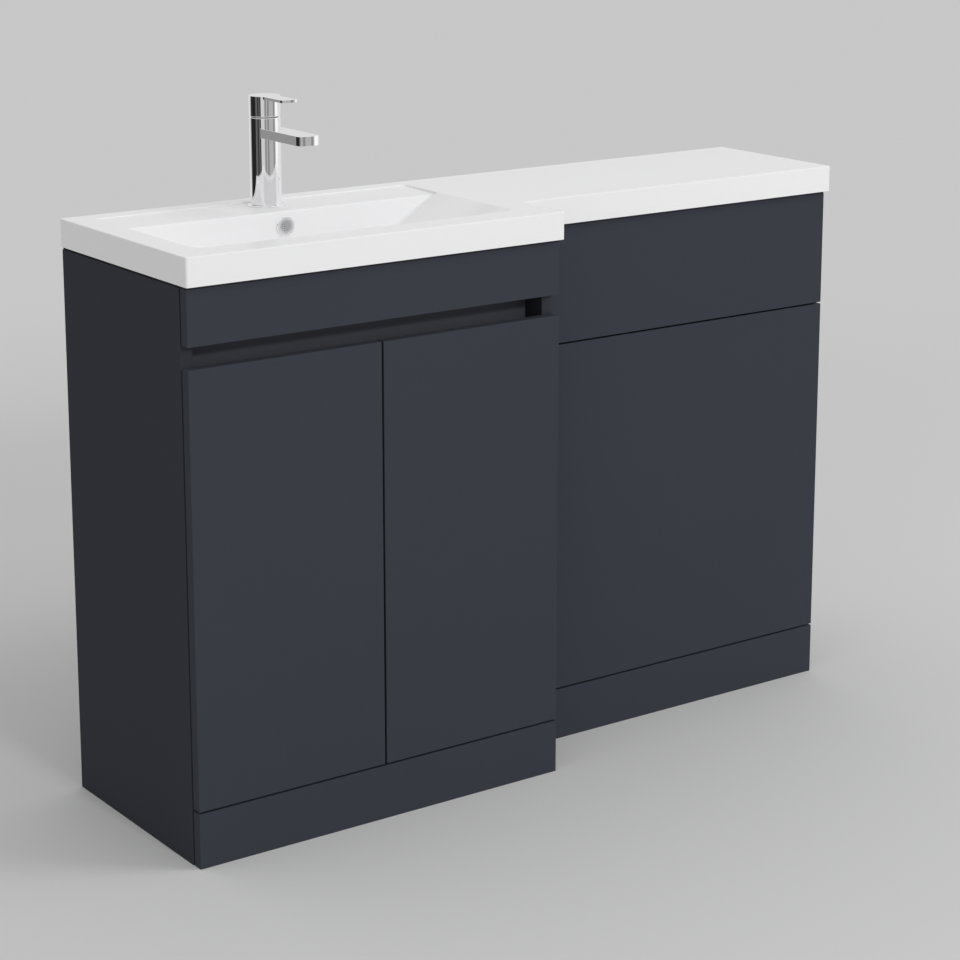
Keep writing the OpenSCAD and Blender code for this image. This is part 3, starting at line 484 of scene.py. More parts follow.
@dataclass(frozen=True)
class BlackRubber(Finish):
    """Moulded rubber with a bloom on its skin."""

    bloom_colour: Colour
    bloom_grain: float = 90.0
    skin_grain: float = 1300.0

    def sockets(self, recipe: Recipe) -> Inputs:
        """Describe the rubber.

        Args:
            recipe: The material's nodes.

        Returns:
            Values and links of the shader's sockets.
        """
        bloom = recipe.noise(self.bloom_grain, 5.0)
        skin = recipe.noise(self.skin_grain)
        return {
            "Base Color": recipe.blend(bloom.between(0.5, 0.9) * 0.4, self.colour, self.bloom_colour),
            "Roughness": 0.66 + bloom * 0.2,
            "Normal": recipe.bump(skin, 0.4, 0.06 * MM),
        }


@dataclass(frozen=True)
class Beech(Finish):
    """Turned beech with flecks along its length."""

    light: Colour
    fleck_colour: Colour
    fibre_grain: float = 900.0
    fleck_grain: float = 500.0

    def sockets(self, recipe: Recipe) -> Inputs:
        """Describe the dowels.

        Args:
            recipe: The material's nodes.

        Returns:
            Values and links of the shader's sockets.
        """
        fibre = recipe.noise(self.fibre_grain, 4.0, recipe.stretched((0.08, 1, 1)))
        fleck = recipe.noise(self.fleck_grain, coords=recipe.stretched((0.3, 1, 1))).between(0.6, 0.75)
        tone = recipe.blend(fibre, self.colour, self.light)
        return {
            "Base Color": recipe.blend(fleck * 0.6, tone, self.fleck_colour),
            "Roughness": 0.6 + fibre * 0.15,
            "Normal": recipe.bump(fibre, 0.4, 0.08 * MM),
        }


@dataclass(frozen=True)
class MouldedPlastic(Finish):
    """Moulded plastic with a spark-eroded grain."""

    roughness: float = 0.4
    alpha: float = 1.0
    grain: float = 1500.0
    flow_grain: float = 60.0

    def sockets(self, recipe: Recipe) -> Inputs:
        """Describe the moulding.

        Args:
            recipe: The material's nodes.

        Returns:
            Values and links of the shader's sockets.
        """
        grain = recipe.noise(self.grain, 3.0)
        flow = recipe.noise(self.flow_grain, 3.0)
        return {
            "Base Color": recipe.blend(flow, shade(self.colour, 0.9), shade(self.colour, 1.1)),
            "Roughness": self.roughness + (grain - 0.5) * 0.2,
            "Alpha": self.alpha,
            "Normal": recipe.bump(grain, 0.3, 0.04 * MM),
        }


ANTHRACITE = srgb(60.2, 63.4, 70.8)
FINISHES = {
    Slot.CARCASS: FacedBoard("anthracite_board", srgb(58.8, 60.1, 66.8)),
    Slot.FRONT: MattLacquer("anthracite_lacquer", ANTHRACITE),
    # The channel is the fronts' anthracite lacquer painted lighter: the lighter colour is painted light
    # that stands in for light reaching into the recess.
    Slot.CHANNEL: MattLacquer("channel_lacquer_painted_light", srgb(84, 87, 94), gloss_level=0.2, roughness=0.38),
    Slot.BASIN: GelCoat("white_gel_coat", srgb(241, 241, 242)),
    Slot.DOWEL: Beech("beech_dowel", srgb(196, 160, 118), srgb(222, 190, 148), srgb(158, 114, 76)),
    Slot.STEEL: PlatedMetal("zinc_plate", srgb(186, 188, 190), 0.27, 0.12, 0.1, (1.0, 1.0, 0.1)),
    Slot.CHROME: PlatedMetal("polished_chrome", srgb(254, 254, 255), 0.03, 0.02),
    Slot.SATIN_CHROME: PlatedMetal("satin_chrome", srgb(228, 229, 231), 0.4, 0.06, 0.06),
    Slot.BRASS: TurnedBrass("turned_brass", srgb(168, 137, 84), srgb(104, 82, 52)),
    Slot.RUBBER: BlackRubber("black_rubber", srgb(28, 28, 29), srgb(64, 63, 62)),
    Slot.BLACK_PLASTIC: MouldedPlastic("black_acetal", srgb(38, 38, 39)),
    Slot.CLEAR_PLASTIC: MouldedPlastic("clear_buffer", srgb(214, 218, 219), 0.3, 0.5),
    Slot.PALE_PLASTIC: MouldedPlastic("pale_acetal", srgb(196, 197, 198), 0.35),
}


@dataclass
class Workshop:
    """Turns meshes into finished pieces that ride on the model's bodies."""

    materials: dict[Slot, bpy.types.Material] = field(default_factory=dict)
    slots: dict[str, Slot] = field(default_factory=dict)
    bodies: dict[str, str] = field(default_factory=dict)

    def __post_init__(self) -> None:
        """Read which slot and which body each node of the record has."""
        record = frame["record"]
        self.slots = {part["node"]: Slot(part["material_slot"]) for part in record["subparts"]}
        for body, nodes in record["behaviour"]["bodies"].items():
            self.bodies.update({node: body for node in nodes})
        self.materials = {slot: finish.build() for slot, finish in FINISHES.items()}

    def add(self, name: str, form: Form, node: str, weighted: bool = True) -> bpy.types.Object:
        """Make a finished piece in place of a node.

        Args:
            name: Name of the piece.
            form: Its mesh, which is freed.
            node: The node that it stands for.
            weighted: Whether large faces stay flat beside their rounded edges.

        Returns:
            The piece as an object.
        """
        smooth_by_angle(form)
        piece = as_object(name, form)
        slot = self.slots[node]
        piece.data.materials.append(self.materials[slot])
        if weighted:
            normals = piece.modifiers.new("flat faces", "WEIGHTED_NORMAL")
            normals.keep_sharp = True
            normals.weight = 50
        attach(piece, self.bodies[node])
        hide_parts(node)
        log.info("%s: %d faces for %s", name, len(piece.data.polygons), node)
        return piece


def as_object(name: str, form: Form) -> bpy.types.Object:
    """Put a mesh in the scene as an object at the origin.

    Args:
        name: Name of the object.
        form: Its mesh, which is freed.

    Returns:
        The object.
    """
    mesh = bpy.data.meshes.new(name)
    form.to_mesh(mesh)
    form.free()
    made = mesh.attributes.get("custom_normal")
    if made:
        mesh.attributes.remove(made)
    piece = bpy.data.objects.new(name, mesh)
    bpy.context.scene.collection.objects.link(piece)
    return piece


def smooth_by_angle(form: Form) -> None:
    """Shade smooth across every edge that is flatter than a crease.

    Args:
        form: The mesh.
    """
    for face in form.faces:
        face.smooth = True
        face.material_index = 0
    for edge in form.edges:
        edge.smooth = len(edge.link_faces) == 2 and edge.calc_face_angle(math.pi) < CREASE


def corners(node: str) -> tuple[Vector, Vector]:
    """Return the lowest and the highest corner of a node."""
    low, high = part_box(node)
    return Vector(low), Vector(high)


def middle_of(node: str) -> Vector:
    """Return the middle of a node's box."""
    low, high = corners(node)
    return (low + high) / 2


def merged(form: Form) -> Form:
    """Weld a mesh and join each flat face into one piece.

    Args:
        form: The mesh.

    Returns:
        The same mesh.
    """
    bmesh.ops.remove_doubles(form, verts=form.verts[:], dist=WELD)
    bmesh.ops.dissolve_limit(form, angle_limit=FLAT, verts=form.verts[:], edges=form.edges[:])
    return form


def stood(foot: Point, axis: Vector) -> Matrix:
    """Return the matrix that puts a form's foot at a place and its height along an axis."""
    return Matrix.Translation(foot) @ UP.rotation_difference(axis).to_matrix().to_4x4()


def node_copy(node: str) -> Form:
    """Copy a node's mesh, with each flat face in one piece.

    Args:
        node: Name of the node.

    Returns:
        The copy.
    """
    form = bmesh.new()
    form.from_mesh(frame["nodes"][node].data)
    return merged(form)


def solids_of(form: Form) -> list[set[Vert]]:
    """Tell the separate solids of a mesh apart.

    Args:
        form: The mesh.

    Returns:
        A set of vertices for each solid.
    """
    left = set(form.verts)
    found = []
    while left:
        solid = {left.pop()}
        edge_of_search = list(solid)
        while edge_of_search:
            vert = edge_of_search.pop()
            for edge in vert.link_edges:
                other = edge.other_vert(vert)
                if other not in solid:
                    solid.add(other)
                    edge_of_search.append(other)
        left -= solid
        found.append(solid)
    return found


def outer_edges(form: Form) -> list[Edge]:
    """Find the edges where two outer planes of a solid's box meet.

    Args:
        form: The mesh.

    Returns:
        The edges, in the mesh's own order.
    """
    chosen = []
    for solid in solids_of(form):
        low = [min(vert.co[axis] for vert in solid) for axis in range(3)]
        high = [max(vert.co[axis] for vert in solid) for axis in range(3)]

        def outer_plane(face: Face) -> bool:
            """Tell whether a face lies on a side of the solid's box.

            Args:
                face: A face of the solid.

            Returns:
                Whether it lies on a side.
            """
            axis = max(range(3), key=lambda index: abs(face.normal[index]))
            side = high if face.normal[axis] > 0 else low
            return abs(face.normal[axis]) > 0.999 and abs(face.verts[0].co[axis] - side[axis]) < TOUCH

        edges = {edge for vert in solid for edge in vert.link_edges}
        chosen += [
            edge for edge in edges
            if len(edge.link_faces) == 2 and edge.calc_face_angle(0) > SQUARE
            and all(outer_plane(face) for face in edge.link_faces)
        ]
    return sorted(chosen, key=lambda edge: edge.index)


def soften(
    form: Form,
    edges: Iterable[Edge],
    width: float,
    segments: int = 2,
    clamp: bool = True,
) -> None:
    """Round edges of a mesh.

    Args:
        form: The mesh.
        edges: Its edges to round.
        width: How far the rounding reaches over each face, in metres.
        segments: Steps of the rounding.
        clamp: Whether short neighbouring edges may narrow the rounding.
    """
    bmesh.ops.bevel(
        form, geom=list(edges), offset=width, offset_type="OFFSET", affect="EDGES", segments=segments,
        profile=0.5, material=-1, clamp_overlap=clamp,
    )


def combined(base: Form, steps: Sequence[tuple[Cut, Form]]) -> Form:
    """Add solids to a base, or cut them from it, one after another.

    Args:
        base: The mesh to start from, which is freed.
        steps: What is done with each further mesh, which is freed too.

    Returns:
        The combined mesh.
    """
    body = as_object("work_base", base)
    tools = []
    for number, (cut, tool) in enumerate(steps):
        tools.append(as_object(f"work_tool_{number}", tool))
        step = body.modifiers.new(f"step_{number}", "BOOLEAN")
        step.operation = cut.value
        step.solver = "EXACT"
        step.object = tools[-1]
    graph = bpy.context.evaluated_depsgraph_get()
    solved = body.evaluated_get(graph)
    result = bmesh.new()
    result.from_mesh(solved.to_mesh())
    solved.to_mesh_clear()
    for helper in [body, *tools]:
        mesh = helper.data
        bpy.data.objects.remove(helper)
        bpy.data.meshes.remove(mesh)
    return merged(result)


def block(low: Point, high: Point) -> Form:
    """Return a closed block.

    Args:
        low: Its lowest corner.
        high: Its highest corner.

    Returns:
        The block.
    """
    form = bmesh.new()
    low, high = Vector(low), Vector(high)
    place = Matrix.Translation((low + high) / 2) @ Matrix.Diagonal((*(high - low), 1))
    bmesh.ops.create_cube(form, size=1, matrix=place)
    return form


def drum(foot: Point, radius: float, height: float, axis: Vector = UP, segments: int = 96) -> Form:
    """Return a closed cylinder.

    Args:
        foot: Middle of its lower end.
        radius: Its radius, in metres.
        height: Its length along the axis.
        axis: Direction from the foot to the other end.
        segments: Steps round it.

    Returns:
        The cylinder.
    """
    form = bmesh.new()
    place = stood(Vector(foot) + axis * height / 2, axis)
    bmesh.ops.create_cone(
        form, cap_ends=True, segments=segments, radius1=radius, radius2=radius, depth=height, matrix=place,
    )
    return form


def round_corner(form: Form, corner: Vert, radius: float, segments: int = 8) -> None:
    """Round one corner of an outline.

    Args:
        form: The mesh of the outline.
        corner: The vertex at the corner.
        radius: How far the rounding reaches along each side.
        segments: Steps of the rounding.
    """
    bmesh.ops.bevel(
        form, geom=[corner], offset=radius, affect="VERTICES", segments=segments, profile=0.5, material=-1,
    )


def turned(
    profile: Sequence[Point],
    foot: Vector,
    rounds: Mapping[int, float],
    axis: Vector = UP,
    steps: int = 96,
) -> Form:
    """Turn a profile round an axis, as on a lathe.

    Args:
        profile: Radius and height of each corner, from the axis or as a closed ring.
        foot: Point on the axis at height 0.
        rounds: Radius to round some of the corners with, by their number.
        axis: Direction of the axis.
        steps: Number of steps round the axis.

    Returns:
        The closed turned form.
    """
    form = bmesh.new()
    points = [form.verts.new((radius, 0, height)) for radius, height in profile]
    closed = profile[0][0] > 0
    for first, second in zip(points, points[1:] + points[:1] if closed else points[1:]):
        form.edges.new((first, second))
    for number, radius in rounds.items():
        round_corner(form, points[number], radius, 4)
    geometry = form.verts[:] + form.edges[:]
    bmesh.ops.spin(
        form, geom=geometry, cent=(0, 0, 0), axis=UP, angle=math.tau, steps=steps, use_merge=True,
    )
    bmesh.ops.remove_doubles(form, verts=form.verts[:], dist=WELD)
    bmesh.ops.recalc_face_normals(form, faces=form.faces[:])
    bmesh.ops.transform(form, matrix=stood(foot, axis), verts=form.verts[:])
    return form


def risen(form: Form, height: float) -> list[Vert]:
    """Give a flat outline its height.

    Args:
        form: The mesh of the outline.
        height: How far it rises.

    Returns:
        The upper vertices.
    """
    grown = bmesh.ops.extrude_face_region(form, geom=form.faces[:])["geom"]
    upper = [item for item in grown if isinstance(item, Vert)]
    bmesh.ops.translate(form, vec=UP * height, verts=upper)
    bmesh.ops.recalc_face_normals(form, faces=form.faces[:])
    return upper


def outline(points: Sequence[Point], height: float, rounds: Mapping[int, float]) -> Form:
    """Return a flat outline with some corners rounded.

    Args:
        points: Corners of the outline, in metres.
        height: Height that the outline lies at.
        rounds: Radius of each rounded corner, by its number.

    Returns:
        A mesh of one face.
    """
    form = bmesh.new()
    made = [form.verts.new((x, y, height)) for x, y in points]
    form.faces.new(made)
    for number, radius in rounds.items():
        round_corner(form, made[number], radius)
    return form


def edges_at(form: Form, height: Level, keep: Keep = lambda middle: True) -> list[Edge]:
    """Return the sharp edges at a height whose middle is kept.

    Args:
        form: The mesh.
        height: Height of the edges, in metres, or the height for each place along Y.
        keep: Tells whether an edge with this middle is wanted.

    Returns:
        The edges, in the mesh's own order.
    """
    level = height if callable(height) else lambda depth: height
    return [
        edge for edge in form.edges
        if all(abs(vert.co.z - level(vert.co.y)) < TOUCH for vert in edge.verts)
        and len(edge.link_faces) == 2 and edge.calc_face_angle(0) > CREASE
        and keep((edge.verts[0].co + edge.verts[1].co) / 2)
    ]


@dataclass
class BoardSet:
    """Boards and fronts whose long edges are slightly rounded."""

    title: str
    nodes: Sequence[str]
    edge_round: float = 0.4 * MM
    segments: int = 3
    weighted: bool = True

    def build(self, shop: Workshop) -> None:
        """Make each piece from a copy of its node.

        Args:
            shop: Where the pieces are finished.
        """
        for node in self.nodes:
            form = node_copy(node)
            soften(form, outer_edges(form), self.edge_round, self.segments)
            shop.add(f"{node}_finished", form, node, self.weighted)


@dataclass
class HardwareSet(BoardSet):
    """Small fittings that keep their node's own shape."""

    edge_round: float = 0.15 * MM
    segments: int = 1
    weighted: bool = False


@dataclass
class BasinTop:
    """L-shaped top with its bowl, tap deck and hollow underside."""

    title: str = "basin top"
    rim_height: float = 40 * MM
    slab: float = 14 * MM
    rim_width: float = 12 * MM
    corner_round: float = 3 * MM
    upper_round: float = 1.3 * MM
    lower_round: float = 0.4 * MM
    basin_part_width: float = 605 * MM
    step: float = 99.5 * MM
    side_rim: float = 39.5 * MM
    bowl_width: float = 515 * MM
    front_rim: float = 49 * MM
    deck_length: float = 80.5 * MM
    ledge: float = 30 * MM
    deck_drop: float = 3 * MM
    deck_slope: float = 0.5 * MM
    deck_dip: float = 0.6 * MM
    deck_rise: float = 2 * MM
    bowl_depth: float = 95 * MM
    end_run: float = 167 * MM
    front_run: float = 56 * MM
    floor_round: float = 18 * MM
    front_corner: float = 20 * MM
    rear_corner: float = 5 * MM
    shell: float = 8 * MM
    bowl_edge_round: float = 1.6 * MM
    deck_edge_round: float = 0.6 * MM
    deck_foot_round: float = 0.7 * MM
    rib: float = 36 * MM
    overflow_drop: float = 25 * MM
    overflow_hole: float = 10.5 * MM
    overflow_seat: float = 15.05 * MM
    seat_reach: float = 0.2 * MM
    duct_half: float = 16 * MM
    duct_depth: float = 10 * MM
    channel_height: float = 11 * MM
    channel_width: float = 24 * MM
    waste_hole: float = 22.5 * MM
    boss_radius: float = 32 * MM
    tap_hole: float = 17.5 * MM
    shell_above: float = 2 * MM
    bowl_above: float = 4 * MM
    lap: float = MM
    margin: float = 8 * MM
    foot_from: float = 3 * MM
    tap_clear: float = 30 * MM
    corner_steps: int = 48
    ball_rings: int = 32
    hole_steps: int = 64

    def __post_init__(self) -> None:
        """Take the place of the top and of the tap from the model."""
        low, high = corners("basin_top")
        self.low = low
        self.high = high
        self.under = high.z - self.slab
        self.deck = high.z - self.deck_drop
        self.floor = high.z - self.bowl_depth
        self.x0 = low.x + self.side_rim
        self.x1 = self.x0 + self.bowl_width
        self.y0 = low.y + self.front_rim
        self.deck_back = high.y - self.ledge
        self.y1 = self.deck_back - self.deck_length
        self.middle = (self.x0 + self.x1) / 2
        self.tap = middle_of("tap_base_ring")
        self.waste = middle_of("waste_plug")

    def slab_form(self) -> Form:
        """Make the L-shaped block with rounded outer edges.

        Returns:
            The closed block.
        """
        base = self.high.z - self.rim_height
        notch_x = self.low.x + self.basin_part_width
        notch_y = self.low.y + self.step
        points = [
            (self.low.x, self.low.y), (notch_x, self.low.y), (notch_x, notch_y), (self.high.x, notch_y),
            (self.high.x, self.high.y), (self.low.x, self.high.y),
        ]
        rounds = {number: self.corner_round for number in (0, 1, 3, 4, 5)}
        form = outline(points, base, rounds)
        risen(form, self.rim_height)
        soften(form, edges_at(form, self.high.z), self.upper_round, 3)
        soften(form, edges_at(form, base), self.lower_round, 2)
        return form

    def bowl_form(self, grow: float, rim: float, above: float) -> Form:
        """Return the bowl as a convex solid round its rim and floor corners.

        Args:
            grow: How much larger the form is than the inside of the bowl.
            rim: Height at which it has the size of the rim.
            above: How far its walls go on above that height.

        Returns:
            The closed form.
        """
        form = bmesh.new()
        height = rim + above
        left = self.x0 - (self.end_run - self.floor_round) / (rim - self.floor) * above
        right = self.x1 + (self.end_run - self.floor_round) / (rim - self.floor) * above
        front = self.y0 - (self.front_run - self.floor_round) / (rim - self.floor) * above
        rim_corners = [
            (left, front, self.front_corner, 1, 1), (right, front, self.front_corner, -1, 1),
            (left, self.y1, self.rear_corner, 1, -1), (right, self.y1, self.rear_corner, -1, -1),
        ]
        for x, y, radius, inward_x, inward_y in rim_corners:
            place = Matrix.Translation((x + inward_x * radius, y + inward_y * radius, height))
            bmesh.ops.create_circle(form, segments=self.corner_steps, radius=radius + grow, matrix=place)
        for x in (self.x0 + self.end_run, self.x1 - self.end_run):
            for y in (self.y0 + self.front_run, self.y1 - self.floor_round):
                place = Matrix.Translation((x, y, self.floor + self.floor_round))
                bmesh.ops.create_uvsphere(
                    form, u_segments=self.corner_steps, v_segments=self.ball_rings,
                    radius=self.floor_round + grow, matrix=place,
                )
        bmesh.ops.delete(form, geom=form.faces[:] + form.edges[:], context="EDGES_FACES")
        hull = bmesh.ops.convex_hull(form, input=form.verts[:])
        inner = [item for item in hull["geom_interior"] if isinstance(item, Vert)]
        bmesh.ops.delete(form, geom=inner, context="VERTS")
        bmesh.ops.recalc_face_normals(form, faces=form.faces[:])
        bmesh.ops.dissolve_limit(form, angle_limit=FLAT, verts=form.verts[:], edges=form.edges[:])
        return form

    def deck_height(self, depth: float) -> float:
        """Return the height of the deck, which rises towards the wall so that it drains."""
        return self.deck - self.deck_dip + self.deck_rise * (depth - self.y1) / self.deck_length

    def deck_form(self) -> Form:
        """Make the space over the sunk tap deck, wider at its top than on the deck.

        Returns:
            The closed form.
        """
        front = self.y1 - self.rear_corner
        slope = self.deck_slope
        points = [
            (self.x0 + slope, front), (self.x1 - slope, front), (self.x1 - slope, self.deck_back - slope),
            (self.x0 + slope, self.deck_back - slope),
        ]
        form = outline(points, self.deck, {2: self.rear_corner, 3: self.rear_corner})
        upper = risen(form, self.deck_drop * 2)
        for vert in set(form.verts) - set(upper):
            vert.co.z = self.deck_height(vert.co.y)
        middle = Vector((self.middle, front, 0))
        reach = self.x1 - self.middle
        depth = self.deck_back - front
        wider = Vector(((reach + slope) / (reach - slope), (depth + slope) / (depth - slope), 1))
        bmesh.ops.scale(form, vec=wider, space=Matrix.Translation(-middle), verts=upper)
        return form

    def hollows(self) -> list[Form]:
        """Make the spaces under the slab on both sides of the rib.

        Returns:
            The left and the right space.
        """
        base = self.low.z
        rib_x = (self.low.x + self.high.x) / 2
        back = self.high.y - self.rim_width
        left = (self.low.x + self.rim_width, self.low.y + self.rim_width, base)
        right = (rib_x + self.rib / 2, self.low.y + self.step + self.rim_width, base)
        return [
            block(left, (rib_x - self.rib / 2, back, self.under)),
            block(right, (self.high.x - self.rim_width, back, self.under)),
        ]

    def duct_forms(self) -> tuple[list[Form], list[Form]]:
        """Make the overflow duct from the bowl's rear wall to the waste.

        Returns:
            The solids, and the hollows in them.
        """
        boss = self.low.z
        outer = self.duct_half + self.shell
        front = self.y1 + self.shell
        back = front + self.duct_depth
        over_boss = self.floor - self.lap
        duct_top = self.high.z - self.overflow_drop + self.duct_depth
        channel = boss + self.shell
        channel_top = channel + self.channel_height

        def across(half: float, y0: float, z0: float, y1: float, z1: float) -> Form:
            """Return a block across the middle of the bowl."""
            return block((self.middle - half, y0, z0), (self.middle + half, y1, z1))

        solids = [
            across(outer, self.y1 - self.lap, boss, back + self.shell, self.under + self.lap),
            across(outer, self.waste.y, boss, back, over_boss),
            drum((self.middle, self.waste.y, boss), self.boss_radius, over_boss - boss),
        ]
        spaces = [
            across(self.duct_half, front, channel, back, duct_top),
            across(self.channel_width / 2, self.waste.y, channel, front + self.lap, channel_top),
        ]
        return solids, spaces

    def bores(self) -> list[Form]:
        """Make the overflow, waste and tap holes with the ring's seat.

        Returns:
            The closed bores.
        """
        mouth = (self.middle, self.y1 - self.shell, self.high.z - self.overflow_drop)
        waste = (self.middle, self.waste.y, self.low.z - self.lap)
        tap = (self.tap.x, self.tap.y, self.under - self.lap)
        seat_depth = self.shell + self.seat_reach
        return [
            drum(mouth, self.overflow_hole, 2 * self.shell + self.lap, -FORWARD, self.hole_steps),
            drum(mouth, self.overflow_seat, seat_depth, -FORWARD, self.hole_steps),
            drum(waste, self.waste_hole, self.bowl_depth),
            drum(tap, self.tap_hole, self.slab + self.lap),
        ]

    def round_rims(self, form: Form) -> None:
        """Round the rim of the bowl, the edge of the deck and the foot of its step.

        Args:
            form: The whole top.
        """
        def inside(middle: Vector) -> bool:
            """Tell whether a point belongs to the rim and not to the outside of the top."""
            return (self.x0 - self.margin < middle.x < self.x1 + self.margin
                    and self.y0 - self.margin < middle.y < self.deck_back + self.margin)

        def by_deck(middle: Vector) -> bool:
            """Tell whether a point lies on the edge above the deck's step."""
            return inside(middle) and middle.y > self.y1 + MM / 2

        def by_bowl(middle: Vector) -> bool:
            """Tell whether a point lies on the rim of the bowl."""
            return inside(middle) and not by_deck(middle)

        def bowl_back(middle: Vector) -> bool:
            """Tell whether a point lies on the edge between the deck and the bowl."""
            return inside(middle) and abs(middle.y - self.y1) < MM

        def step_foot(middle: Vector) -> bool:
            """Tell whether a point lies at the foot of the deck's step."""
            return (inside(middle) and middle.y > self.y1 + self.foot_from
                    and (middle.xy - self.tap.xy).length > self.tap_clear)

        for height, keep, width, segments in (
            (self.high.z, by_deck, self.deck_edge_round, 3),
            (self.high.z, by_bowl, self.bowl_edge_round, 4),
            (self.deck_height, bowl_back, self.bowl_edge_round, 4),
            (self.deck_height, step_foot, self.deck_foot_round, 3),
        ):
            soften(form, edges_at(form, height, keep), width, segments, clamp=False)

    def build(self, shop: Workshop) -> None:
        """Build the top and dress it.

        Args:
            shop: Where the pieces are finished.
        """
        duct, duct_spaces = self.duct_forms()
        shell = self.bowl_form(self.shell, self.under, self.shell_above)
        bowl = self.bowl_form(0.0, self.high.z, self.bowl_above)
        steps = [(Cut.REMOVE, form) for form in self.hollows()]
        steps += [(Cut.ADD, form) for form in (shell, *duct)]
        steps += [(Cut.REMOVE, form) for form in (bowl, self.deck_form(), *duct_spaces, *self.bores())]
        form = combined(self.slab_form(), steps)
        self.round_rims(form)
        shop.add("basin_top_gel_coated", form, "basin_top")


@dataclass
class Waste:
    """Plug of the waste and the rolled ring of the overflow."""

    title: str = "waste and overflow"
    crown: float = 2.0 * MM
    plug_edge: float = 3.0 * MM
    plug_height: float = 5.0 * MM
    stem_radius: float = 4.0 * MM
    ring_depth: float = 2.8 * MM
    ring_tube: float = 6.0 * MM
    hole_radius: float = 10.4 * MM
    ring_bore: float = 8.5 * MM
    ring_lip: float = 10.0 * MM
    lip_height: float = 0.6 * MM
    crown_foot: float = 0.93
    crown_turn: float = 0.6
    crown_share: float = 0.9

    def plug(self) -> Form:
        """Turn the crowned plug with its stem.

        Returns:
            The closed plug.
        """
        low, high = corners("waste_plug")
        radius = (high.x - low.x) / 2
        foot = Vector(((low.x + high.x) / 2, (low.y + high.y) / 2, high.z - self.plug_height))
        drop = low.z - foot.z
        profile = [
            (0, drop), (self.stem_radius, drop), (self.stem_radius, 0), (radius, 0),
            (radius, self.plug_edge - self.crown / 2), (radius * self.crown_foot, self.plug_edge),
            (radius * self.crown_turn, self.plug_height * self.crown_share), (0, self.plug_height),
        ]
        rounds = {1: 0.5 * MM, 3: 0.4 * MM, 4: 0.6 * MM, 5: 0.8 * MM, 6: 4 * MM}
        return turned(profile, foot, rounds)

    def ring(self) -> Form:
        """Turn the overflow ring with its rolled face.

        Returns:
            The closed ring.
        """
        low, high = corners("overflow_ring")
        radius = (high.x - low.x) / 2
        foot = Vector(((low.x + high.x) / 2, low.y + self.ring_depth, (low.z + high.z) / 2))
        profile = [
            (self.ring_bore, -self.ring_tube), (self.hole_radius, -self.ring_tube), (self.hole_radius, 0),
            (radius, 0), (radius, self.ring_depth / 2), (radius - self.ring_depth / 2, self.ring_depth),
            (self.ring_lip, self.ring_depth), (self.ring_lip, self.lip_height),
            (self.ring_bore, self.lip_height),
        ]
        rounds = {3: 0.3 * MM, 4: 0.7 * MM, 5: 0.7 * MM, 6: 0.5 * MM}
        return turned(profile, foot, rounds, FORWARD)

    def build(self, shop: Workshop) -> None:
        """Build the plug and the ring, and dress them."""
        shop.add("waste_plug_polished", self.plug(), "waste_plug", weighted=False)
        shop.add("overflow_ring_polished", self.ring(), "overflow_ring", weighted=False)


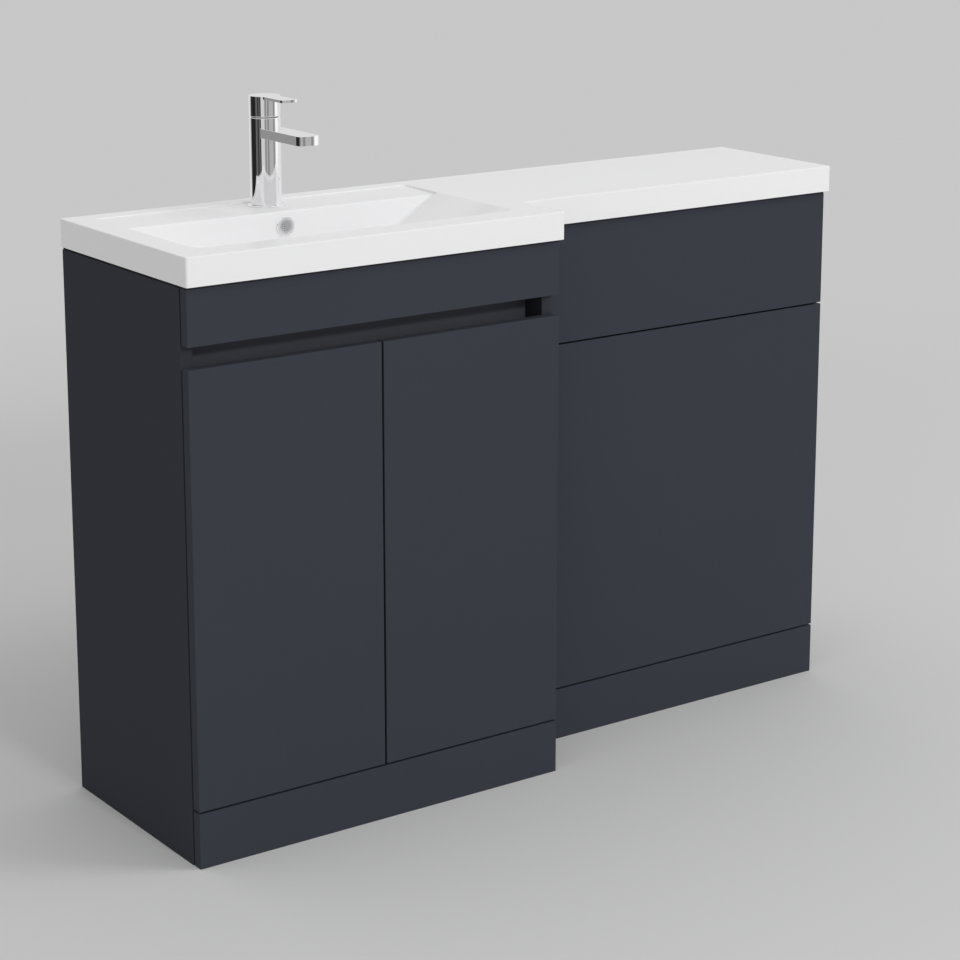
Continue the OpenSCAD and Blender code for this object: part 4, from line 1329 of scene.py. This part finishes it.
@dataclass
class Tap:
    """Single-lever tap: base ring, body with its flat spout, and the hollow handle with its blade."""

    title: str = "tap"
    spout_half: float = 17 * MM
    spout_thick: float = 13.5 * MM
    spout_drop: float = 14.5 * MM
    spout_bow: float = 5 * MM
    spout_corner: float = 7 * MM
    spout_round: float = 1.3 * MM
    blade_half: float = 13 * MM
    blade_thick: float = 3.75 * MM
    blade_bow: float = 2 * MM
    blade_corner: float = 4 * MM
    blade_round: float = 0.9 * MM
    shoulder_round: float = 1.0 * MM
    skirt_round: float = 1.3 * MM
    seat_radius: float = 17.1 * MM
    seat_depth: float = 29.5 * MM
    cap_wall: float = 3 * MM
    lug_half: float = 2.5 * MM
    lug_radius: float = 1.75 * MM
    pin_clear: float = 0.1 * MM
    lift: float = math.radians(22)
    heel_gap: float = 0.3 * MM
    aerator_clear: float = 0.1 * MM
    port_radius: float = 4.5 * MM
    port_depth: float = 15 * MM
    port_spacing: float = 9 * MM
    port_forward: float = 5 * MM
    stud_back: float = 9 * MM
    stud_radius: float = 4.1 * MM
    stud_depth: float = 14 * MM
    foot_round: float = 0.3 * MM
    ring_lap: float = 7 * MM
    ring_round: float = 1.2 * MM
    lap: float = MM
    nose_steps: int = 16
    bore_steps: int = 32
    barrel_steps: int = 128

    def __post_init__(self) -> None:
        """Take the places of the body, handle and pin from the model."""
        low, high = corners("tap_body")
        self.radius = (high.x - low.x) / 2
        self.axis = Vector(((low.x + high.x) / 2, high.y - self.radius, 0))
        self.base = low.z
        self.shoulder = high.z
        self.spout_tip = low.y
        handle_low, handle_high = corners("tap_handle")
        self.cap_base = handle_low.z
        self.cap_top = handle_high.z
        self.blade_tip = handle_low.y
        pin_low, pin_high = corners("lever_pin")
        self.pin = middle_of("lever_pin")
        self.pin_radius = (pin_high.z - pin_low.z) / 2

    def at(self, height: float) -> Vector:
        """Return the point of the tap's axis at a height."""
        return Vector((self.axis.x, self.axis.y, height))

    def bar(self, half: float, tip: float, bow: float, corner: float, low: float, thick: float) -> Form:
        """Return a flat bar from the axis to a bowed nose.

        Args:
            half: Half of its width.
            tip: Place of the middle of its nose.
            bow: How far the nose bows out.
            corner: Radius of its two front corners.
            low: Height of its underside.
            thick: Its thickness.

        Returns:
            The closed bar.
        """
        form = bmesh.new()
        nose_radius = (half * half + bow * bow) / (2 * bow)
        centre = Vector((self.axis.x, tip + nose_radius, low))
        half_angle = math.asin(half / nose_radius)
        start = form.verts.new((self.axis.x - half, tip + bow, low))
        bmesh.ops.spin(
            form, geom=[start], cent=centre, axis=UP, angle=2 * half_angle, steps=self.nose_steps,
        )
        arc = sorted(form.verts, key=lambda vert: vert.co.x)
        back = [form.verts.new((self.axis.x + side * half, self.axis.y, low)) for side in (1, -1)]
        form.faces.new(arc + back)
        for vert in (arc[0], arc[-1]):
            round_corner(form, vert, corner)
        risen(form, thick)
        return form

    def barrel(self, foot: float, top: float, rounds: Mapping[int, float]) -> Form:
        """Return an upright round of the tap's radius between two heights, with rounded corners."""
        profile = [(0, 0), (self.radius, 0), (self.radius, top - foot), (0, top - foot)]
        return turned(profile, self.at(foot), rounds, steps=self.barrel_steps)

    def body(self) -> Form:
        """Make the upright body with its spout, seat and lower bores.

        Returns:
            The closed body.
        """
        upright = self.barrel(self.base, self.shoulder, {1: self.foot_round, 2: self.shoulder_round})
        top = self.shoulder - self.spout_drop
        low = top - self.spout_thick
        spout = self.bar(
            self.spout_half, self.spout_tip, self.spout_bow, self.spout_corner, low, self.spout_thick,
        )
        soften(spout, edges_at(spout, top) + edges_at(spout, low), self.spout_round, 4)
        aerator_low, aerator_high = corners("tap_aerator")
        mouth = middle_of("tap_aerator")
        mouth.z = low - self.lap
        mouth_radius = (aerator_high.x - aerator_low.x) / 2 + self.aerator_clear
        foot = self.at(self.base - self.lap)
        bores = [
            drum(self.at(self.shoulder - self.seat_depth), self.seat_radius, self.seat_depth + self.lap),
            drum(mouth, mouth_radius, self.spout_thick / 2 + self.lap),
            drum(foot - FORWARD * self.stud_back, self.stud_radius, self.stud_depth),
        ]
        for side in (-1, 1):
            port = foot + ACROSS * (side * self.port_spacing) + FORWARD * self.port_forward
            bore = drum(port, self.port_radius, self.port_depth + self.lap, segments=self.bore_steps)
            bores.append(bore)
        return combined(upright, [(Cut.ADD, spout), *((Cut.REMOVE, bore) for bore in bores)])

    def handle(self) -> Form:
        """Make the hollow handle with its blade and the lug for its pin.

        Returns:
            The closed handle.
        """
        roof = self.cap_top - self.blade_thick
        cap = self.barrel(self.cap_base, self.cap_top, {1: self.skirt_round})
        blade = self.bar(
            self.blade_half, self.blade_tip, self.blade_bow, self.blade_corner, roof, self.blade_thick,
        )
        foot = self.at(self.cap_base - self.lap)
        hollow = drum(foot, self.radius - self.cap_wall, roof - self.cap_base + self.lap)
        shell = combined(cap, [(Cut.ADD, blade), (Cut.REMOVE, hollow)])
        front = self.axis.y - self.radius
        rim = edges_at(shell, self.cap_top)
        rim += edges_at(shell, roof, lambda middle: middle.y < front + self.lap)
        soften(shell, rim, self.blade_round, 4)
        left = self.pin.x - self.lug_half
        wall = self.axis.y + self.radius - self.cap_wall / 2
        lug = block(
            (left, self.pin.y, self.pin.z - self.lug_radius),
            (self.pin.x + self.lug_half, wall, self.pin.z + self.lug_radius),
        )
        width = 2 * self.lug_half
        eye = drum((left, self.pin.y, self.pin.z), self.lug_radius, width, ACROSS, self.bore_steps)
        bore = drum(
            (left - self.lap, self.pin.y, self.pin.z), self.pin_radius + self.pin_clear,
            width + 2 * self.lap, ACROSS, self.bore_steps,
        )
        steps = [(Cut.ADD, lug), (Cut.ADD, eye), (Cut.REMOVE, bore), (Cut.REMOVE, self.heel())]
        return combined(shell, steps)

    def heel(self) -> Form:
        """Make the wedge behind the pin that the handle needs to tip back.

        Returns:
            The closed wedge.
        """
        height = self.pin.z - (self.pin.z - self.shoulder - self.heel_gap) / math.cos(self.lift)
        wedge = block((-self.radius, 0, -self.radius), (self.radius, self.radius, 0))
        place = Matrix.Translation((self.pin.x, self.pin.y, height)) @ Matrix.Rotation(self.lift, 4, "X")
        bmesh.ops.transform(wedge, matrix=place, verts=wedge.verts[:])
        return wedge

    def base_ring(self) -> Form:
        """Turn the ring under the tap with its rounded shoulder.

        Returns:
            The closed ring.
        """
        low, high = corners("tap_base_ring")
        radius = (high.x - low.x) / 2
        height = high.z - low.z
        bore = self.radius - self.ring_lap
        profile = [(bore, 0), (radius, 0), (radius, height), (bore, height)]
        return turned(profile, self.at(low.z), {1: self.foot_round, 2: self.ring_round})

    def build(self, shop: Workshop) -> None:
        """Build the ring, body and handle, and dress them.

        Args:
            shop: Where the pieces are finished.
        """
        shop.add("tap_base_ring_polished", self.base_ring(), "tap_base_ring")
        shop.add("tap_body_polished", self.body(), "tap_body")
        shop.add("tap_handle_polished", self.handle(), "tap_handle")


def heading(azimuth: float, elevation: float) -> Vector:
    """Return the direction at an azimuth from the front and at an elevation."""
    level = math.cos(elevation)
    return Vector((math.sin(azimuth) * level, -math.cos(azimuth) * level, math.sin(elevation)))


def placed(name: str, data: bpy.types.ID, place: Vector, away: Vector) -> bpy.types.Object:
    """Put a lamp or a camera in the scene.

    Args:
        name: Name of the object.
        data: The lamp's or camera's data.
        place: Where it stands.
        away: Direction that it looks against.

    Returns:
        The object.
    """
    made = bpy.data.objects.new(name, data)
    made.location = place
    made.rotation_euler = (-away).to_track_quat("-Z", "Y").to_euler()
    bpy.context.scene.collection.objects.link(made)
    return made


@dataclass(frozen=True)
class Lamp:
    """Square soft lamp that looks at the object."""

    name: str
    azimuth: float
    elevation: float
    distance: float
    size: float
    level: float

    def hang(self, aim: Vector) -> None:
        """Hang the lamp, with the power that lights a white face turned to it to its level.

        Args:
            aim: Point that it looks at.
        """
        away = heading(self.azimuth, self.elevation)
        data = bpy.data.lights.new(self.name, "AREA")
        data.shape = "SQUARE"
        data.size = self.size
        data.energy = (math.pi * self.distance) ** 2 * self.level
        placed(self.name, data, aim + away * self.distance, away).visible_glossy = False


@dataclass(frozen=True)
class Panel:
    """Upright panel of the reflection tent between two azimuths in degrees."""

    left: float
    right: float
    level: float


@dataclass
class Studio:
    """Pale floor, soft lamps, the tent that only gloss shows, and the camera."""

    floor_reach: float = 40.0
    pale: float = 0.575
    floor_albedo: float = 0.66
    floor_grain: float = 0.8
    near: float = 1.6
    far: float = 3.6
    ambient: float = 0.66
    lamps: Sequence[Lamp] = (
        Lamp("front_lamp", math.radians(-3), math.radians(25), 8.0, 0.7, 0.205),
        Lamp("right_lamp", math.radians(50), math.radians(40), 8.0, 2.6, 0.205),
    )
    aim: Vector = field(default_factory=lambda: Vector((0, 0, 0.5)))
    tent_place: Vector = field(default_factory=lambda: Vector((-0.3, 0.12, -0.02)))
    tent_radius: float = 2.6
    tent_height: float = 2.8
    tent_line: float = 1.5
    line_blur: float = 0.15
    tent_top: float = 0.84
    panels: Sequence[Panel] = (
        Panel(-156, -146, 0.27), Panel(-146, -99, 0.017), Panel(-99, -59, 0.12), Panel(-86, -74, 0.04),
        Panel(-67, -58, 0.025), Panel(-56, -34, 0.6), Panel(-34, 50, 0.42), Panel(-30, -20, 0.25),
        Panel(-12, 0, 0.24), Panel(32, 43, 0.24), Panel(53, 76, 0.96),
    )
    tent_level: float = 0.72
    panel_edge: float = 0.8
    view_azimuth: float = math.radians(-35.337)
    view_elevation: float = math.radians(12.497)
    eye: Vector = field(default_factory=lambda: Vector((-2.1072, -2.9488, 1.4317)))
    focal_pixels: float = 2505.4
    picture_pixels: float = 960.0
    sensor: float = 36.0
    shift_up: float = -0.15

    def floor(self) -> None:
        """Lay the pale floor, which takes the shadow near the object and stays even far away."""
        form = bmesh.new()
        bmesh.ops.create_circle(form, cap_ends=True, segments=64, radius=self.floor_reach)
        ground = as_object("studio_floor", form)
        recipe = Recipe("studio_floor")
        drift = recipe.noise(self.floor_grain)
        albedo = grey(self.floor_albedo)
        tone = recipe.blend(drift, albedo, shade(albedo, 0.99))
        cloth = recipe.out("ShaderNodeBsdfDiffuse", inputs={"Color": tone})
        glow = recipe.out("ShaderNodeEmission", inputs={"Color": grey(self.pale)})
        length = recipe.out("ShaderNodeVectorMath", {"operation": "LENGTH"}, {0: recipe.coords}, "Value")
        share = recipe.seen() * length.between(self.near, self.far)
        mixed = recipe.out("ShaderNodeMixShader", inputs={0: share, 1: cloth, 2: glow})
        ground.data.materials.append(recipe.finished(mixed))

    def tent(self) -> None:
        """Stand a tent of pale and dark panels round the object, which only glossy rays see."""
        form = drum(self.tent_place, self.tent_radius, self.tent_height)
        tent = as_object("reflection_tent", form)
        recipe = Recipe("reflection_tent")
        local = recipe.out(
            "ShaderNodeVectorMath", {"operation": "SUBTRACT"}, {0: recipe.coords, 1: self.tent_place},
        )
        front = 0.0 - recipe.part("Y", local)
        azimuth = recipe.part("X", local).angle_to(front)
        level: Signal | float = self.tent_level
        for panel in self.panels:
            left = math.radians(panel.left)
            right = math.radians(panel.right)
            edge = math.radians(self.panel_edge)
            beyond = azimuth.between(right - edge, right + edge)
            inside = azimuth.between(left - edge, left + edge) * (1.0 - beyond)
            level = inside * (panel.level - level) + level
        above = recipe.part("Z").between(self.tent_line - self.line_blur, self.tent_line + self.line_blur)
        level = above * (self.tent_top - level) + level
        glow = recipe.out("ShaderNodeEmission", inputs={"Color": level})
        tent.data.materials.append(recipe.finished(glow))
        for kind in ("camera", "diffuse", "transmission", "shadow"):
            setattr(tent, f"visible_{kind}", False)

    def world(self) -> None:
        """Light the room evenly, with the backdrop's own colour for camera and reflections."""
        recipe = Recipe("studio", world=True)
        kind = "ShaderNodeBackground"
        light = recipe.out(kind, inputs={"Color": grey(1.0), "Strength": self.ambient})
        shown = recipe.out(kind, inputs={"Color": grey(self.pale)})
        mixed = recipe.out("ShaderNodeMixShader", inputs={0: recipe.seen(), 1: light, 2: shown})
        bpy.context.scene.world = recipe.finished(mixed)

    def camera(self) -> None:
        """Set the camera at the photograph's viewing angle."""
        data = bpy.data.cameras.new("camera")
        data.sensor_width = self.sensor
        data.lens = self.focal_pixels / self.picture_pixels * self.sensor
        data.shift_y = self.shift_up
        away = heading(self.view_azimuth, self.view_elevation)
        bpy.context.scene.camera = placed("camera", data, self.eye, away)

    def build(self) -> None:
        """Set up floor, tent, world, lamps and camera."""
        bpy.context.scene.view_settings.view_transform = "Standard"
        self.floor()
        self.tent()
        self.world()
        for lamp in self.lamps:
            lamp.hang(self.aim)
        self.camera()


def pairs(*names: str) -> list[str]:
    """Return each name for the left and the right side."""
    return [f"{name}_{side}" for name in names for side in ("left", "right")]


BASIN_CABINET = (
    *pairs("vanity_side"), "vanity_bottom", "vanity_back", "vanity_rear_rail", "finger_rail", "shelf",
    "fascia", "vanity_plinth",
)
DOORS = pairs("door")
BACK_CABINET = (
    *pairs("wc_side"), "wc_rear_rail", "wc_middle_rail", "wc_bottom_rail", "wc_access_panel",
    "wc_lower_panel", "wc_plinth",
)
HINGES = (
    *pairs("hinge_cups", "hinge_pins", "cup_screws"), "hinge_arms", "hinge_plates", "plate_screws",
    *pairs("door_buffers"),
)
# top_seals is a black strip in the gap under the top: a dark piece put where there is shade, standing in
# for the dark shadow line under the top's overhang.
FIXINGS = (
    "shelf_pins", "vanity_dowels", "front_dowels", "wc_dowels", "panel_clips", "unit_bolts", "top_seals",
)
WASTE_PARTS = ("waste_body", "waste_seal", "waste_gasket", "waste_nut", "overflow_grille")
TAP_PARTS = (
    "tap_aerator", "tap_cartridge", "cartridge_nut", "cartridge_stem", "swivel_ring", "lever_pin",
    "tap_stud", "tap_washer", "tap_clamp_plate", "tap_nut",
)


def main() -> None:
    """Build and dress every sub-assembly, then set up the studio."""
    shop = Workshop()
    assemblies = [
        BoardSet("basin cabinet", BASIN_CABINET),
        BoardSet("doors", DOORS),
        BoardSet("back-to-wall cabinet", BACK_CABINET),
        HardwareSet("hinges", HINGES),
        HardwareSet("fixings", FIXINGS),
        BasinTop(),
        HardwareSet("waste parts", WASTE_PARTS),
        Waste(),
        HardwareSet("tap parts", TAP_PARTS),
        Tap(),
    ]
    for assembly in assemblies:
        assembly.build(shop)
        log.info("built %s", assembly.title)
    Studio().build()


if __name__ == "__main__":
    logging.basicConfig(level=logging.INFO, format="%(name)s: %(message)s")
    main()
